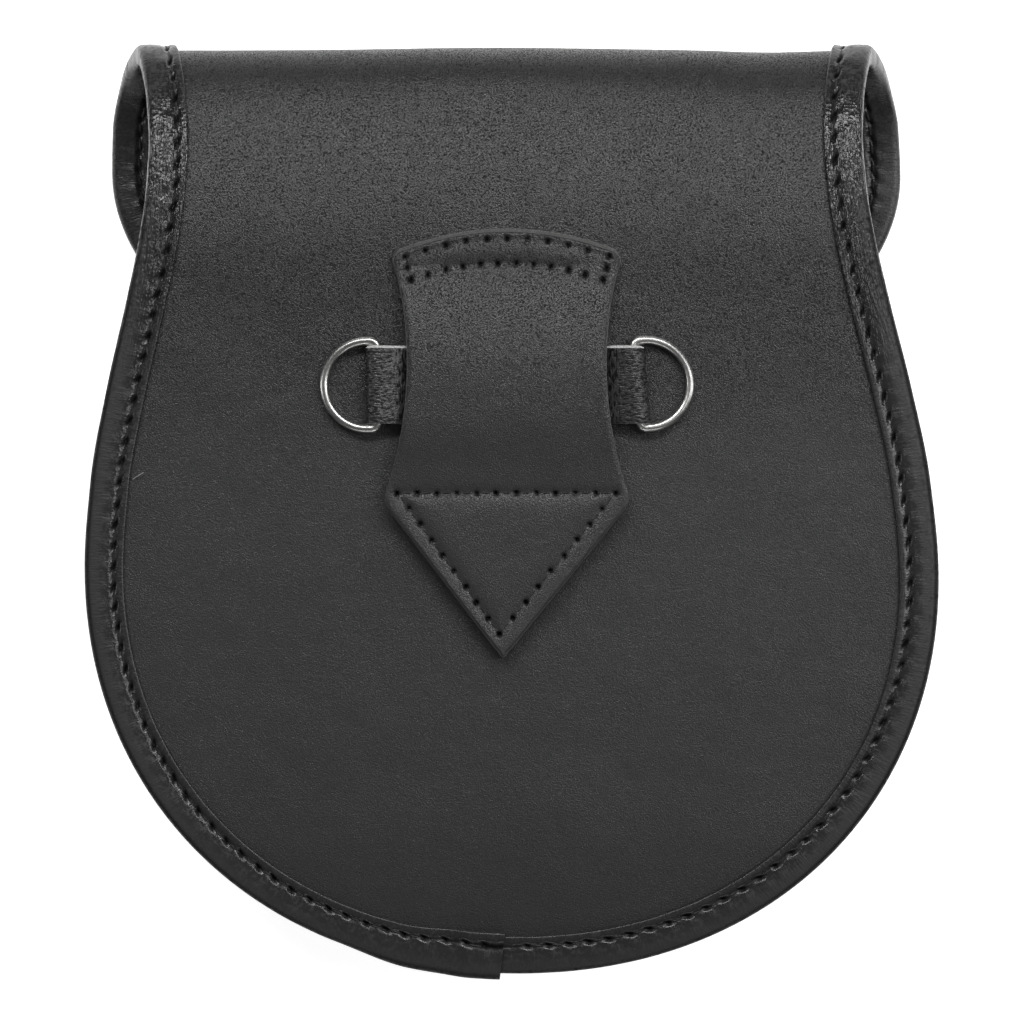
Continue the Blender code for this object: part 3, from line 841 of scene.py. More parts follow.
class MakeHide(Operator):
    """Builds the one piece of leather that is back panel, fold and flap"""

    bl_idname = "sporran.make_hide"
    bl_label = "Back Panel and Flap"

    def execute(self, context):
        settings = context.scene.sporran_hide
        rows = rim_table(46, 1.35 * MM)

        def place(u, v):
            along = row_at(rows, v)
            x = lean_at(line_at(along)[0]) + (2 * u - 1) * half_width_at(along)
            flat = np.stack([x, along, 0 * x], 1)
            height = 0.09 * MM * wander(flat, 24 * MM) + 0.03 * MM * wander(flat, 7 * MM)
            bow = 0.6 * MM * bell(x + 1 * MM, 30 * MM) - 0.5 * MM * bell(x - 55 * MM, 12 * MM)
            height += bow * smooth((line_at(along)[0] - 84 * MM) / (12 * MM))
            return folded(x, along, height), flat[:, :2]

        bm = bent_grid(120, len(rows) - 1, place)
        thicken(bm, settings.thickness, [(-0.2 * MM, 0.3 * MM)])
        finished("panel_hide", bm, "hide hide_cut flesh", "back_and_flap")
        return {"FINISHED"}


# Binding

BINDING_TOP = 1.28 * MM  # crown of the binding over the grain side
BINDING_TURN = -1.9 * MM  # where the strip starts to bend round the edge
BINDING_EDGE = 1.1 * MM
BINDING_BEND = 2 / 3.8  # how squarely it bends
LAP_START = -9.3 * MM  # the first end, tucked under
LAP_END = -2.7 * MM  # the last end
LAP_RIDE = 1.1 * MM
CHANNEL_WITH_GUSSET = 4.4 * MM
CHANNEL_ALONE = 2.7 * MM


def binding_section(settings, depth):
    """The folded strip's section as rows of (out, height, arm): arm is 1 on the grain side's
    arm, -1 on the other arm and 0 elsewhere."""
    low = -depth - settings.thickness - 0.1 * MM
    end = -settings.arm
    over = np.linspace(end + 0.25 * MM, BINDING_TURN, 19)[:-1]
    turn = np.radians(np.linspace(90, -90, 19))
    out = BINDING_TURN + (BINDING_EDGE - BINDING_TURN) * np.abs(np.cos(turn)) ** BINDING_BEND
    middle, half = (BINDING_TOP + low) / 2, (BINDING_TOP - low) / 2
    height = middle + half * np.sign(np.sin(turn)) * np.abs(np.sin(turn)) ** BINDING_BEND
    under = np.linspace(BINDING_TURN, end + 0.25 * MM, 13)[1:]
    rows = [(end, GAP, 0), (end - 0.03 * MM, 0.7 * MM, 0), (end + 0.06 * MM, 1.0 * MM, 0)]
    lower = 0.12 * MM * (1 - smooth((over + 4.2 * MM) / (1.6 * MM)))
    rows += [(o, BINDING_TOP - drop, 1) for o, drop in zip(over, lower)]
    rows += [(o, h, 0) for o, h in zip(out, height)]
    rows += [(o, low, -1) for o in under]
    rows += [(end, low + 0.12 * MM, 0), (end, -depth, 0), (GAP, -depth, 0), (GAP, GAP, 0)]
    rows += [(end, GAP, 0)]
    return np.array(rows)


def past_mouth(along):
    """0 where the binding holds the gusset too, and 1 where it holds the hide alone."""
    return smooth((along - MOUTH_ALONG) / (9 * MM))


def stitch_pitch(settings):
    """The pitch that fits the rim a whole number of times."""
    return RIM_LENGTH / round(RIM_LENGTH / settings.pitch)


def lap_ride(place):
    """How far the strip is lifted over its own first end, out at the edge and up on the arms."""
    before = RIM_LENGTH - place
    out = LAP_RIDE * smooth((38 * MM - before) / (16 * MM))
    up = LAP_RIDE * smooth((17 * MM - before) / (7 * MM))
    return out, up


def seam_pits(settings, place, out, parted):
    """Depth of the needle holes at places near the rim, of the seam's trench and of the ragged
    slit along its bottom, and how far the leather puffs up between the stitches."""
    pitch = stitch_pitch(settings)
    index = np.floor(place / pitch)
    ahead = place - (index + 0.5) * pitch - 0.22 * MM * scatter(index, 1)
    aside = out + settings.seam - 0.13 * MM * scatter(index, 2) - 0.34 * ahead
    length = (1.12 + 0.2 * scatter(index, 3)) * MM
    hole = bell(ahead, length, 3.5) * bell(aside, 0.45 * MM, 3)
    trench = bell(out + settings.seam, 0.7 * MM)
    sewn = smooth((place - 1.0 * MM) / MM) * smooth((RIM_LENGTH + LAP_END - 0.8 * MM - place) / MM)
    puff = np.cos(2 * math.pi * ahead / pitch) * bell(out + 3.6 * MM, 1.3 * MM)
    ragged = 0.2 * MM * wander(np.stack([place, 0 * place, 0 * place], 1), 1.3 * MM)
    off_slit = out + settings.seam + ragged - 0.4 * MM * parted
    slit = bell(off_slit, (0.38 + 0.35 * parted) * MM)
    return hole * sewn, trench, slit, puff


class MakeBinding(Operator):
    """Builds the strip folded round the whole edge, its ends lapped at the bottom"""

    bl_idname = "sporran.make_binding"
    bl_label = "Edge Binding"

    def execute(self, context):
        settings = context.scene.sporran_binding
        deep = binding_section(settings, CHANNEL_WITH_GUSSET)
        alone = binding_section(settings, CHANNEL_ALONE)
        columns = len(deep) - 1
        lining = columns - 4  # from this column on the section runs back inside the fold

        def place(u, v):
            column = np.round(u * columns).astype(int)
            path = LAP_START + v * (RIM_LENGTH + LAP_END - LAP_START)
            _, along = rim_at(path)
            past = past_mouth(along)[:, None]
            section = deep[column] * (1 - past) + alone[column] * past
            out, height, arm = section.T
            ride_out, ride_up = lap_ride(path)
            parted = smooth((path - (RIM_LENGTH - 15 * MM)) / (9 * MM))
            hole, trench, slit, puff = seam_pits(settings, path, out, parted)
            low = smooth((30 * MM - along) / (25 * MM))
            slit = slit * np.maximum(0.5 * low, 0.95 * parted)
            trench = trench * (1 + 0.7 * parted) * (1 - 0.5 * low)
            sink = MM * (0.3 * trench + 0.3 * slit + (0.6 - 0.2 * parted) * hole - 0.07 * puff)
            height = height - arm * sink
            to_edge = np.clip((out - BINDING_TURN) / (BINDING_EDGE - BINDING_TURN), 0, 1)
            to_end = np.clip((BINDING_TURN - out) / (BINDING_TURN + settings.arm), 0, 1)
            middle = -CHANNEL_ALONE / 2
            longer = 0.9 * MM * smooth((path - (RIM_LENGTH - 26 * MM)) / (14 * MM))
            shift = ride_out * to_edge - longer * to_end * (height > middle)
            lift = ride_up * np.clip((height - middle) / (1.2 * MM), -1, 1)
            wave = 0.07 * MM * wander(np.stack([path, out, height], 1), 5 * MM)
            outer = (np.abs(arm) + (to_edge > 0.02)).clip(0, 1) * (column < lining)
            height = height + lift + wave * outer * np.sign(height - middle)
            skew = 0.9 * MM * smooth((path - RIM_LENGTH + 12 * MM) / (9 * MM))
            skew *= (out + settings.arm) / (BINDING_EDGE + settings.arm)
            # pit marks the holes and the slit, where the material paints shade
            pit = np.maximum(hole, slit) * np.where(arm > 0, 1, 0.4 * np.abs(arm))
            return on_rim(path - skew, out + shift, height), np.stack([path, out], 1), pit

        bm = bent_grid(columns, 1280, place)
        for index, face in enumerate(bm.faces):
            column = index % columns
            centre = face.calc_center_median()
            # the outer wall below the fold gets the look with almost no gloss, so that it stays
            # dark: painted shade
            dulled = deep[column, 0] > 0.3 * MM and centre.z > 20 * MM and centre.y < 62 * MM
            face.material_index = 1 if column in (0, lining) else 2 * dulled
        weld(bm)
        ends = [edge for edge in bm.edges if edge.is_boundary]
        made = bmesh.ops.holes_fill(bm, edges=ends, sides=0)["faces"]
        for face in made:
            face.material_index = 1
        bmesh.ops.triangulate(bm, faces=made)
        looks = "binding binding_cut rim"
        finished("binding", bm, looks, "edge_binding", sharp=60)
        return {"FINISHED"}


# Pouch body

RIGHT_RIM = slice(0, len(RIM_ALONG) // 2)
MOUTH_PLACE = np.interp(MOUTH_ALONG, RIM_ALONG[RIGHT_RIM], RIM_PLACE[RIGHT_RIM])


def plane_rim(place, inset):
    """Points in X and Y that lie in from the pouch's rim, seen from above."""

    def flat(value):
        x, along = rim_at(value)
        return np.stack([x, line_at(along)[0]], 1)

    run = flat(place + 0.5 * MM) - flat(place - 0.5 * MM)
    run /= np.linalg.norm(run, axis=1)[:, None]
    inwards = np.stack([-run[:, 1], run[:, 0]], 1)
    return flat(place) + inwards * np.asarray(inset)[:, None]


GUSSET_DEPTH = 25.0
GUSSET_LINE = (  # inset from the rim and way down from the back panel, in millimetres
    (1.2, 0), (8.6, 0), (9, 1.5), (10.6, 9), (11.6, 14),
    (11.4, 18.5), (10.6, 23.6), (10.8, GUSSET_DEPTH), (18.5, GUSSET_DEPTH),
)
GUSSET_COLUMNS = 43


class MakeGusset(Operator):
    """Builds the pouch's soft side wall with a fold along its middle"""

    bl_idname = "sporran.make_gusset"
    bl_label = "Gusset"

    def execute(self, context):
        line = softened(GUSSET_LINE, GUSSET_COLUMNS + 1, 1.1)
        hide = context.scene.sporran_hide.thickness

        def place(u, v):
            inset, down = line[np.round(u * GUSSET_COLUMNS).astype(int)].T
            down = down / GUSSET_DEPTH
            path = MOUTH_PLACE * (1 - 2 * v)
            belly = np.sin(math.pi * np.clip(down, 0, 1))
            ripple = np.sin(2 * math.pi * path / (8.5 * MM) + 1.5 * np.sin(path / (31 * MM)))
            curve = smooth((95 * MM - np.abs(path)) / (60 * MM))
            flat = np.stack([path, down * GUSSET_DEPTH * MM, 0 * path], 1)
            soft = 0.22 * MM * ripple * curve + 0.8 * MM * wander(flat, 17 * MM)
            points = plane_rim(path, inset * MM + belly * soft)
            top = back_z(points[:, 1]) - hide - GAP - GUSSET_THICKNESS
            z = top + (FRONT_RIM_Z + FRONT_THICKNESS + GAP - top) * down
            return np.column_stack([points, z]), flat[:, :2]

        bm = bent_grid(GUSSET_COLUMNS, 420, place)
        thicken(bm, GUSSET_THICKNESS, [(-0.1 * MM, 0.2 * MM)])
        finished("gusset_wall", bm, "binding binding_cut flesh", "gusset")
        return {"FINISHED"}


def front_half_width(y):
    along = y - TIP_Y
    share = (BOTTOM_LENGTH - along) / (BOTTOM_LENGTH - FRONT_INSET)
    low = (BOTTOM_HALF_WIDTH - FRONT_INSET) * superellipse(share, BOTTOM_POWER)
    return np.where(along >= BOTTOM_LENGTH, half_width_at(along) - FRONT_INSET, low)


def front_point(x_share, y):
    """The front panel's outer face."""
    middle = FRONT_RIM_Z * curve_through(BELLY, y) / MM
    z = middle + (FRONT_RIM_Z - middle) * x_share**4
    return np.stack([lean_at(y) + x_share * front_half_width(y), y, z], 1)


class MakeFront(Operator):
    """Builds the pouch's front panel, flattened where it rests"""

    bl_idname = "sporran.make_front"
    bl_label = "Front Panel"

    def execute(self, context):
        bottom, widest = TIP_Y + FRONT_INSET, TIP_Y + BOTTOM_LENGTH
        step, top = 1.5 * MM, 60 * MM
        ys = bottom + round_rows(widest - bottom, BOTTOM_POWER, 40)
        ys = np.concatenate([ys, np.arange(widest + step, top, step), [top]])

        def place(u, v):
            points = front_point(2 * u - 1, row_at(ys, v))
            points[:, 2] += 0.12 * MM * (wander(points, 20 * MM) + 1)
            return points, points[:, :2]

        bm = bent_grid(96, len(ys) - 1, place)
        cut = [(0.12 * MM, 0.3 * MM), (0.12 * MM, 1.7 * MM), (0, 1.95 * MM)]
        thicken(bm, FRONT_THICKNESS, cut)
        finished("front_face", bm, "hide hide_cut flesh", "front_panel")
        return {"FINISHED"}


# Belt loop

LOOP_X = -1.1 * MM
LOOP_APEX_Y = 58.7 * MM
LOOP_LENGTH = 89.2 * MM
LOOP_ARCH = 4.9 * MM
LOOP_TOP_WIDTH = 24.1 * MM  # half its width at the top
LOOP_LOW_WIDTH = 25.9 * MM  # half its width at the lower corners
LOOP_WAIST = 4.3 * MM  # how far each side is drawn in between them
LOOP_SKEW = 0.8 * MM  # how far the tip lies to the left
LOOP_CORNER = 1.7 * MM
LOOP_PEAK_Y = 24.0 * MM
LOOP_LOW_Y = 2.2 * MM
LOOP_TIP_Y = -30.5 * MM
SEAM_DOWN = (1.4 * MM, 6.6 * MM)  # the two rows over the top, down from its edge
TAIL_SEAM = ((-22.9, 3.95), (22.7, 3.95), (-0.85, -25.4))  # corners of the stitched triangle, in mm


def loop_side(y):
    """Half the belt loop's width at a height, with its lower corner rounded a little."""
    around = np.asarray(y)[:, None] + np.linspace(-1.8, 1.8, 9) * MM
    t = (around - LOOP_LOW_Y) / (LOOP_APEX_Y - LOOP_ARCH - LOOP_LOW_Y)
    waist = LOOP_LOW_WIDTH + (LOOP_TOP_WIDTH - LOOP_LOW_WIDTH) * t
    waist = waist - LOOP_WAIST * (1 - (2 * t - 1) ** 2)
    tail = LOOP_LOW_WIDTH * (around - LOOP_TIP_Y) / (LOOP_LOW_Y - LOOP_TIP_Y)
    return np.maximum(np.where(around > LOOP_LOW_Y, waist, tail), 0).mean(1)


def loop_arch(x, down):
    """How far a row of the belt loop drops towards its sides, following its arched top."""
    return LOOP_ARCH * (x / LOOP_TOP_WIDTH) ** 2 * (1 - smooth((down - 8 * MM) / (24 * MM)))


def skewed(x, y):
    """Where a place across the belt loop lies across the pouch."""
    return x + LOOP_X - LOOP_SKEW * np.clip((LOOP_LOW_Y - y) / (LOOP_LOW_Y - LOOP_TIP_Y), 0, 1)


def loop_rise(y, rise):
    """How far the belt loop stands off the back panel between its sewn ends."""
    sewn_y = LOOP_APEX_Y - SEAM_DOWN[1] - 0.5 * MM
    above = np.clip((y - LOOP_PEAK_Y) / (sewn_y - LOOP_PEAK_Y), 0, 1) ** 2
    below = smooth((LOOP_PEAK_Y - y) / (LOOP_PEAK_Y - 4.3 * MM)) ** 1.15
    return rise * (1 - np.where(y > LOOP_PEAK_Y, above, below))


def loop_seams(pitch):
    """Rows of stitch holes on the belt loop, each a list of points in its own X and Y."""
    rows = []
    for down, half, count in ((SEAM_DOWN[0], 21.4, 11), (SEAM_DOWN[1], 20.2, 12)):
        x = np.linspace(-half, half, count) * MM
        rows.append(np.stack([x, LOOP_APEX_Y - down - loop_arch(x, down)], 1))
    for side in (0, -1):
        first, last = rows[0][side], rows[1][side]
        rows.append(np.array([first, (first + last) / 2, last]))
    corners = [np.array(corner) * MM for corner in TAIL_SEAM]
    for first, last in zip(corners, corners[1:] + corners[:1]):
        count = max(2, round(np.linalg.norm(last - first) / pitch) + 1)
        rows.append(first + (last - first) * np.linspace(0, 1, count)[:, None])
    return rows


def distance_to_line(points, row):
    """Distance of each point from the nearest part of a row of stitches."""
    best = np.full(len(points), 1.0)
    for first, last in zip(row, row[1:]):
        run = last - first
        t = np.clip(((points - first) @ run) / (run @ run), 0, 1)
        best = np.minimum(best, np.linalg.norm(points - first - t[:, None] * run, axis=1))
    return best


def loop_relief(settings, points):
    """Depth of the seams' grooves and of the holes in them, over the belt loop."""
    groove, hole = np.zeros(len(points)), np.zeros(len(points))
    number = 0
    for index, row in enumerate(loop_seams(settings.pitch)):
        depth = 0.4 if index < 4 else 0.8
        near = np.hypot(distance_to_line(points, row), 0.25 * MM) - 0.25 * MM
        groove = np.maximum(groove, depth * np.exp(-near / (1.25 * MM)))
        for centre in row:
            number += 1
            centre = centre + 0.14 * MM * np.array([scatter(number, 1), scatter(number, 2)])
            away = np.linalg.norm(points - centre, axis=1)
            hole = np.maximum(hole, bell(away, settings.hole * (1 + 0.15 * scatter(number, 3)), 4))
    return groove, hole


def tail_swell(y):
    """How much thicker the sewn tail is near its straight row, where the leather is bunched."""
    return 2.55 * MM * smooth((LOOP_PEAK_Y - y) / (LOOP_PEAK_Y - 4 * MM))


def loop_height(settings, y):
    return back_z(y) + GAP + loop_rise(y, settings.rise) + tail_swell(y) + settings.thickness


class MakeBeltLoop(Operator):
    """Builds the shaped belt loop with its arched top, pointed tail and rows of stitch holes"""

    bl_idname = "sporran.make_belt_loop"
    bl_label = "Belt Loop"

    def execute(self, context):
        settings = context.scene.sporran_tab

        def place(u, v):
            down = v * LOOP_LENGTH
            across = 2 * u - 1
            half = loop_side(LOOP_APEX_Y - down - loop_arch(LOOP_TOP_WIDTH, down))
            corner = np.clip(LOOP_CORNER - down, 0, LOOP_CORNER)
            half = half - (LOOP_CORNER - np.sqrt(LOOP_CORNER**2 - corner**2))
            half = half * np.clip((LOOP_LENGTH - down) / (2.2 * MM), 0, 1) ** 0.35
            x = across * half
            y = LOOP_APEX_Y - down - loop_arch(x, down)
            groove, hole = loop_relief(settings, np.stack([x, y], 1))
            inwards = np.minimum((1 - np.abs(across)) * half, down)
            height = loop_height(settings, y) - 0.55 * MM * groove - 0.7 * MM * hole
            height -= 0.24 * MM * (1 - smooth(inwards / (0.6 * MM)))
            points = np.stack([skewed(x, y), y, height], 1)
            points[:, 2] += 0.07 * MM * wander(points, 9 * MM)
            # the holes go out as pit, where the material paints shade
            return points, points[:, :2], hole

        bm = bent_grid(118, 200, place)
        steps = ((0.1, 0.06), (0.45, 0.5), (0.8, 1.1), (1.0, 1.5))
        cut = [(out * settings.slant, down * MM) for out, down in steps]

        def under(point):
            above = loop_height(settings, point.y) - tail_swell(point.y)
            return Vector((point.x, point.y, above - settings.thickness))

        def reach(way):
            return 0.3 + 0.7 * smooth((way.y - 0.5) / 0.35)

        thicken(bm, settings.thickness, cut, reach, under)
        finished("loop_tab", bm, "hide hide_cut flesh", "belt_loop", sharp=55)
        return {"FINISHED"}


# Strap and rings


def strap_line(settings):
    """The strap's middle line in X and Z, once round: out over the right ring's bar, back under
    it, and the same at the left."""
    radius = EYE + settings.thickness / 2
    layer = BACK_Z + GAP + settings.thickness / 2
    eye_z = layer + radius
    upper = layer + settings.thickness + GAP
    line = []
    for ring in (RINGS["ring_right"], RINGS["ring_left"]):
        bar, side = ring["bar_x"], ring["side"]
        turn = np.radians(np.arange(-30, 181, 7.5))
        end = [(bar - side * PINCH, upper)]
        end += [(bar + side * radius * math.sin(a), eye_z + radius * math.cos(a)) for a in turn]
        end += [(bar - side * PINCH, layer)]
        line += end if side > 0 else end[::-1]
    return softened(line + line[:1], 460, 0.7 * MM)


class MakeStrap(Operator):
    """Builds the narrow strap that is folded round the bars of both rings"""

    bl_idname = "sporran.make_strap"
    bl_label = "Ring Strap"

    def execute(self, context):
        settings = context.scene.sporran_strap
        line = strap_line(settings)
        run = np.roll(line, -1, 0) - np.roll(line, 1, 0)
        run[0] = run[-1] = line[1] - line[-2]
        run /= np.linalg.norm(run, axis=1)[:, None]
        out = np.stack([-run[:, 1], run[:, 0]], 1)
        last = len(line) - 1
        around = lengths(line)

        def place(u, v):
            i = np.round(v * last).astype(int)
            across = 2 * u - 1
            x, z = (line[i] + out[i] * settings.thickness / 2).T
            y = STRAP_Y + across * settings.width / 2
            shift = 0 * x
            for ring in RINGS.values():
                outer = smooth((x * ring["side"] - abs(ring["bar_x"]) + PINCH) / (2 * MM))
                shift -= (y - STRAP_Y) * math.tan(math.radians(ring["slant"])) * outer
            flat = np.stack([x, y, z], 1)
            z = z + 0.1 * MM * wander(flat, 3.2 * MM)
            z -= 0.15 * MM * smooth((np.abs(across) - 0.8) / 0.2) * (out[i][:, 1] > 0)
            return np.stack([x + shift, y, z], 1), np.stack([around[i], y], 1)

        bm = bent_grid(30, last, place)
        cut = [(0.08 * MM, 0.03 * MM), (0.45 * MM, 0.4 * MM), (0.6 * MM, 0.9 * MM)]
        thicken(bm, settings.thickness, cut, lambda way: 0.15 + 0.85 * smooth(way.y))
        finished("strap", bm, "strap strap_cut flesh", "ring_strap")
        return {"FINISHED"}


class MakeRings(Operator):
    """Builds both wire rings, each with its straight bar in the strap's fold"""

    bl_idname = "sporran.make_rings"
    bl_label = "D-Rings"

    def execute(self, context):
        settings = context.scene.sporran_rings
        strap = context.scene.sporran_strap.thickness
        for name, ring in RINGS.items():
            side, arc, corner = ring["side"], settings.arc, settings.corner
            bow = [
                (side * (2.2 * MM + arc * math.cos(a)), arc * math.sin(a))
                for a in np.radians(np.arange(-90, 91, 3))
            ]
            turn = np.radians(np.arange(0, 91, 9))
            start = arc - corner
            top = [(side * corner * (1 - math.sin(a)), start + corner * math.cos(a)) for a in turn]
            bar = [(0, y) for y in np.linspace(start, -start, 8)[1:-1]]
            path = bow + top[1:] + bar + [(x, -y) for x, y in top[::-1]][:-1]
            dip = Matrix.Rotation(math.radians(side * RING_DIP), 4, "Y")
            slant = Matrix.Rotation(math.radians(ring["slant"]), 4, "Z")
            eye_z = BACK_Z + GAP + strap + EYE
            put = Matrix.Translation((ring["bar_x"], RING_Y, eye_z)) @ slant @ dip
            points = [put @ Vector((x, y, 0)) for x, y in path]
            up = (put.to_3x3() @ Vector((0, 0, 1))).normalized()
            bm = bmesh.new()
            tube(bm, points, up, settings.wire, 24, closed=True)
            finished(name + "_wire", bm, "nickel", ring["node"], body=name)
        return {"FINISHED"}


class MakeSnap(Operator):
    """Builds the hidden snap between the flap and the front panel"""

    bl_idname = "sporran.make_snap"
    bl_label = "Snap"

    def execute(self, context):
        low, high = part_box("snap_fastener")
        centre = (low + high) / 2
        rim = (high.x - low.x) / 2
        base = ((0, 0), (0.86, 0), (1, 0.2), (1, 0.5), (0.9, 0.7), (0.66, 0.75))
        outline = [(out, low.z + up * MM) for out, up in base]
        outline += [(0.56, high.z - 0.15 * MM), (0.46, high.z), (0, high.z)]
        bm = bmesh.new()
        verts = [bm.verts.new((centre.x + rim * out, centre.y, z)) for out, z in outline]
        edges = [bm.edges.new(pair) for pair in zip(verts, verts[1:])]
        geom, axis = [*verts, *edges], (0, 0, 1)
        bmesh.ops.spin(
            bm, geom=geom, cent=centre, axis=axis, angle=2 * math.pi, steps=48, use_merge=True
        )
        weld(bm)
        finished("snap_socket", bm, "nickel", "snap_fastener", sharp=30)
        return {"FINISHED"}


# Stitching


def stitch(bm, points, ups):
    """One short thread that comes up out of a hole and goes down into the next."""
    tube(bm, points, ups, THREAD * np.array([0.35, 0.9, 1, 1, 1, 0.9, 0.35]), 6)


def sew_binding(settings):
    """Sews the binding on, with a thread along each of its two arms."""
    pitch = stitch_pitch(settings)
    steps = np.linspace(-0.5, 0.5, 7)
    rise = np.array([0, 0.62, 0.9, 1, 0.9, 0.62, 0])
    for name, arm in (("binding_thread", 1), ("binding_thread_inside", -1)):
        bm = bmesh.new()
        for index in range(1, round(RIM_LENGTH / pitch) - 1):
            centre = index * pitch + 0.1 * MM * scatter(index, 4)
            path = centre + steps * (pitch - 1.5 * MM)
            lean = 0.16 * MM * np.sign(steps) * np.abs(steps * 2) ** 2
            out = -settings.seam + 0.1 * MM * scatter(index, 5) + lean
            _, ride_up = lap_ride(path)
            _, along = rim_at(path)
            shallower = (CHANNEL_WITH_GUSSET - CHANNEL_ALONE) * past_mouth(along)
            depth = CHANNEL_WITH_GUSSET - shallower
            low = 0.45 * MM + 0.3 * MM * rise
            if arm < 0:
                low = -depth - low - 0.08 * MM
            points = on_rim(path, out, low + arm * ride_up)
            higher = on_rim(path, out, low + arm * (ride_up + MM))
            stitch(bm, points, (higher - points) / MM)
        finished(name, bm, "thread")


def sew_belt_loop(settings):
    """Sews the belt loop to the back panel."""
    bm = bmesh.new()
    steps = np.linspace(0.14, 0.86, 7)
    rise = np.array([0, 0.6, 0.9, 1, 0.9, 0.6, 0])
    for row in loop_seams(settings.pitch):
        for first, last in zip(row, row[1:]):
            x, y = first[:, None] + (last - first)[:, None] * steps
            z = loop_height(settings, y) - 0.95 * MM + 0.4 * MM * rise
            stitch(bm, np.stack([skewed(x, y), y, z], 1), (0, 0, 1))
    finished("loop_thread", bm, "thread")


def sew_front():
    """Sews the front panel to the gusset's lip, all round the front."""
    bm = bmesh.new()
    ys = np.linspace(57, -80, 120) * MM
    out = 0.955  # as a share of the panel's half width
    right, left = front_point(out, ys), front_point(-out, ys[::-1])
    line = softened([*right, *left], 900, 2 * MM)
    step = 12
    for start in range(2, len(line) - step, step):
        points = line[start : start + step - 3][[0, 1, 2, 4, 6, 7, 8]].copy()
        points[:, 2] -= 0.2 * MM * np.array([-1, 0.3, 0.9, 1, 0.9, 0.3, -1])
        stitch(bm, points, (0, 0, -1))
    finished("front_thread", bm, "thread")


def leave_thread_end():
    """Leaves a short thread end sticking out from under the binding."""
    start, end = Vector((-79.6, 6.9, 37.5)) * MM, Vector((-77.3, 8.3, 37.9)) * MM
    middle = (start + end) / 2 + Vector((0, 0, 0.35 * MM))
    points = [Vector(p[:]) for p in interpolate_bezier(start, middle, middle, end, 9)]
    bm = bmesh.new()
    tube(bm, points, (0, 0, 1), 0.09 * MM, 8)
    finished("loose_thread", bm, "loose_thread")


class MakeStitches(Operator):
    """Sews the pouch together, and leaves one short end of thread on its back"""

    bl_idname = "sporran.make_stitches"
    bl_label = "Stitches"

    def execute(self, context):
        sew_binding(context.scene.sporran_binding)
        sew_belt_loop(context.scene.sporran_tab)
        sew_front()
        leave_thread_end()
        return {"FINISHED"}


# Stage

SKY = ((0.0, 0.06), (0.3, 0.05), (0.6, 0.06), (0.8, 0.22), (0.95, 0.24))  # light by height


def softbox(name, turn, tilt, away, size, power):
    """A soft light aimed at the pouch: turn goes from +Y to +X, and tilt is from straight up."""
    turn, tilt = math.radians(turn), math.radians(tilt)
    across = math.sin(tilt)
    way = Vector((across * math.sin(turn), across * math.cos(turn), math.cos(tilt)))
    light = bpy.data.lights.new(name, "AREA")
    light.shape = "RECTANGLE"
    light.size, light.size_y = size
    light.energy = 4 * power * size[0] * size[1]
    obj = linked(name, light)
    obj.location = way * away + Vector((0, 0, BACK_Z))
    obj.rotation_euler = way.to_track_quat("Z", "Y").to_euler()


def lay_floor(settings):
    """The pale floor, which glows a little so that it stays white round the pouch."""
    look = Look("pale_floor")
    cloud = look.lumps(look.place(), 0.4)
    tone = look.tones(cloud, settings.floor, 1, 1.03)
    look.shader.inputs["Emission Color"].default_value = (1, 1, 1, 1)
    look.shader.inputs["Emission Strength"].default_value = settings.glow
    bm = bmesh.new()
    bmesh.ops.create_grid(bm, x_segments=8, y_segments=8, size=4)
    floor = linked("floor", mesh_of("floor", bm, [look.done(tone, 0.9)]))


def light_room(scene, settings):
    """The room round the pouch, dark at its walls and lighter overhead."""
    scene.world = bpy.data.worlds.new("studio")
    scene.world.use_nodes = True
    room = Nodes(scene.world.node_tree)
    high = room.part(room.node("TexCoord", out="Generated"), "Z")
    background = room.tree.nodes["Background"].inputs
    room.put(background["Color"], room.node("ValToRGB", {"stops": SKY}, {"Fac": high}))
    room.put(background["Strength"], settings.room)


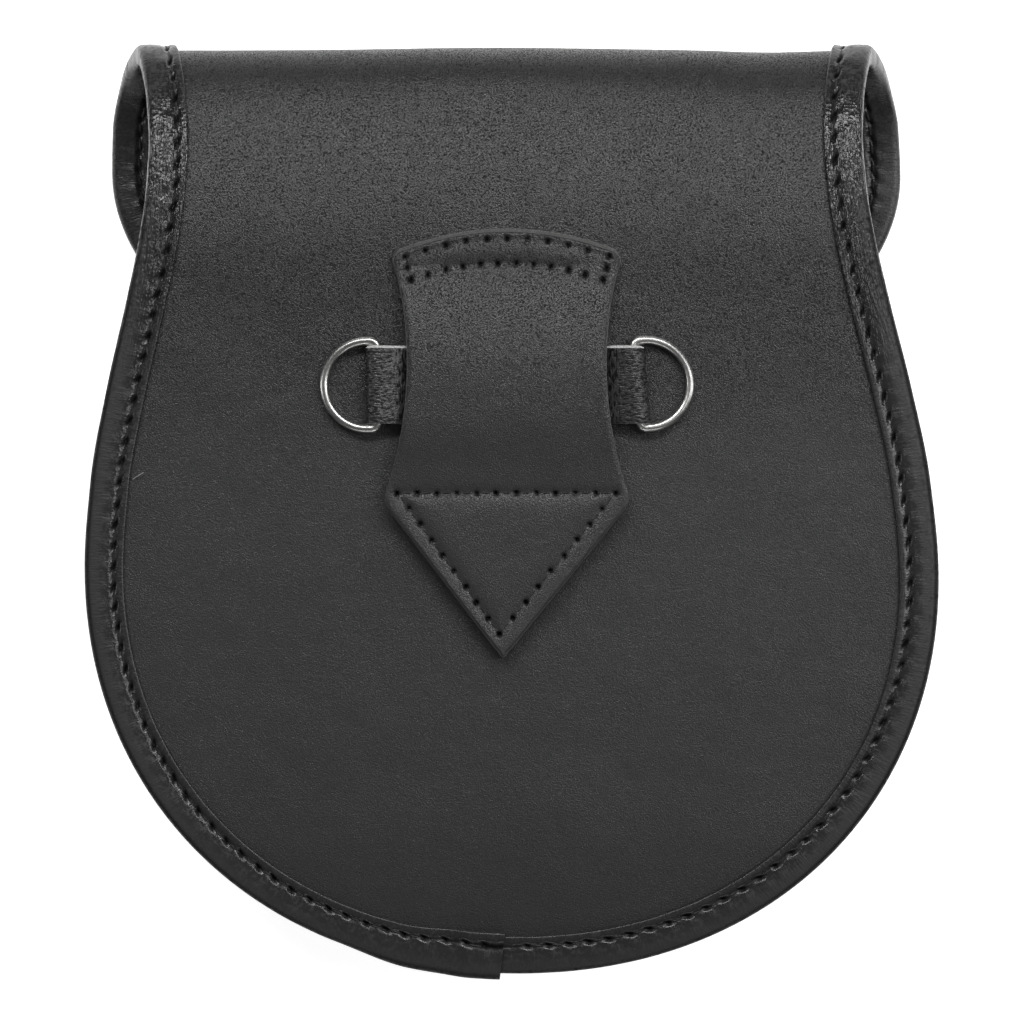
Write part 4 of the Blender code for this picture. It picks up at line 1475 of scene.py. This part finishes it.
def set_up_camera(scene, settings):
    camera = bpy.data.cameras.new("camera")
    camera.lens = settings.lens
    camera.sensor_width = 36
    camera.clip_start, camera.clip_end = 0.05, 20
    scene.camera = linked("camera", camera)
    scene.camera.location = (0, 0, settings.camera_height)


class MakeStage(Operator):
    """Sets out the pale floor, the soft lights, the room round them and the camera overhead"""

    bl_idname = "sporran.make_stage"
    bl_label = "Stage"

    def execute(self, context):
        scene = context.scene
        settings = scene.sporran_stage
        lay_floor(settings)
        softbox("key_softbox", 0, 35, 1.35, (1.6, 0.2), settings.key)
        softbox("side_softbox", 80, 40, 1.35, (0.3, 0.9), settings.side)
        softbox("fill_softbox", 180, 72, 1.3, (1.5, 0.3), settings.fill)
        softbox("left_softbox", -90, 76, 1.3, (0.25, 1.0), settings.ends)
        softbox("right_softbox", 90, 76, 1.3, (0.25, 1.0), settings.ends)
        light_room(scene, settings)
        set_up_camera(scene, settings)
        scene.view_settings.view_transform = "Standard"
        return {"FINISHED"}


OPERATORS = (
    MakeHide,
    MakeBinding,
    MakeGusset,
    MakeFront,
    MakeBeltLoop,
    MakeStrap,
    MakeRings,
    MakeSnap,
    MakeStitches,
    MakeStage,
)


class SporranPanel(Panel):
    """Lists the pouch's pieces and the stage"""

    bl_idname = "VIEW3D_PT_sporran"
    bl_label = "Sporran Pouch"
    bl_space_type = "VIEW_3D"
    bl_region_type = "UI"
    bl_category = "Sporran"

    def draw(self, context):
        for maker in OPERATORS:
            self.layout.operator(maker.bl_idname)


SETTINGS = {
    "sporran_hide": HideSettings,
    "sporran_binding": BindingSettings,
    "sporran_tab": TabSettings,
    "sporran_strap": StrapSettings,
    "sporran_rings": RingSettings,
    "sporran_stage": StageSettings,
}


def register():
    for made in (*SETTINGS.values(), *OPERATORS, SporranPanel):
        bpy.utils.register_class(made)
    for name, group in SETTINGS.items():
        setattr(Scene, name, PointerProperty(type=group))


def unregister():
    for name in SETTINGS:
        delattr(Scene, name)
    for made in (SporranPanel, *OPERATORS[::-1], *SETTINGS.values()):
        bpy.utils.unregister_class(made)


def main():
    register()
    for maker in OPERATORS:
        group, name = maker.bl_idname.split(".")
        getattr(getattr(bpy.ops, group), name)()


if __name__ == "__main__":
    main()
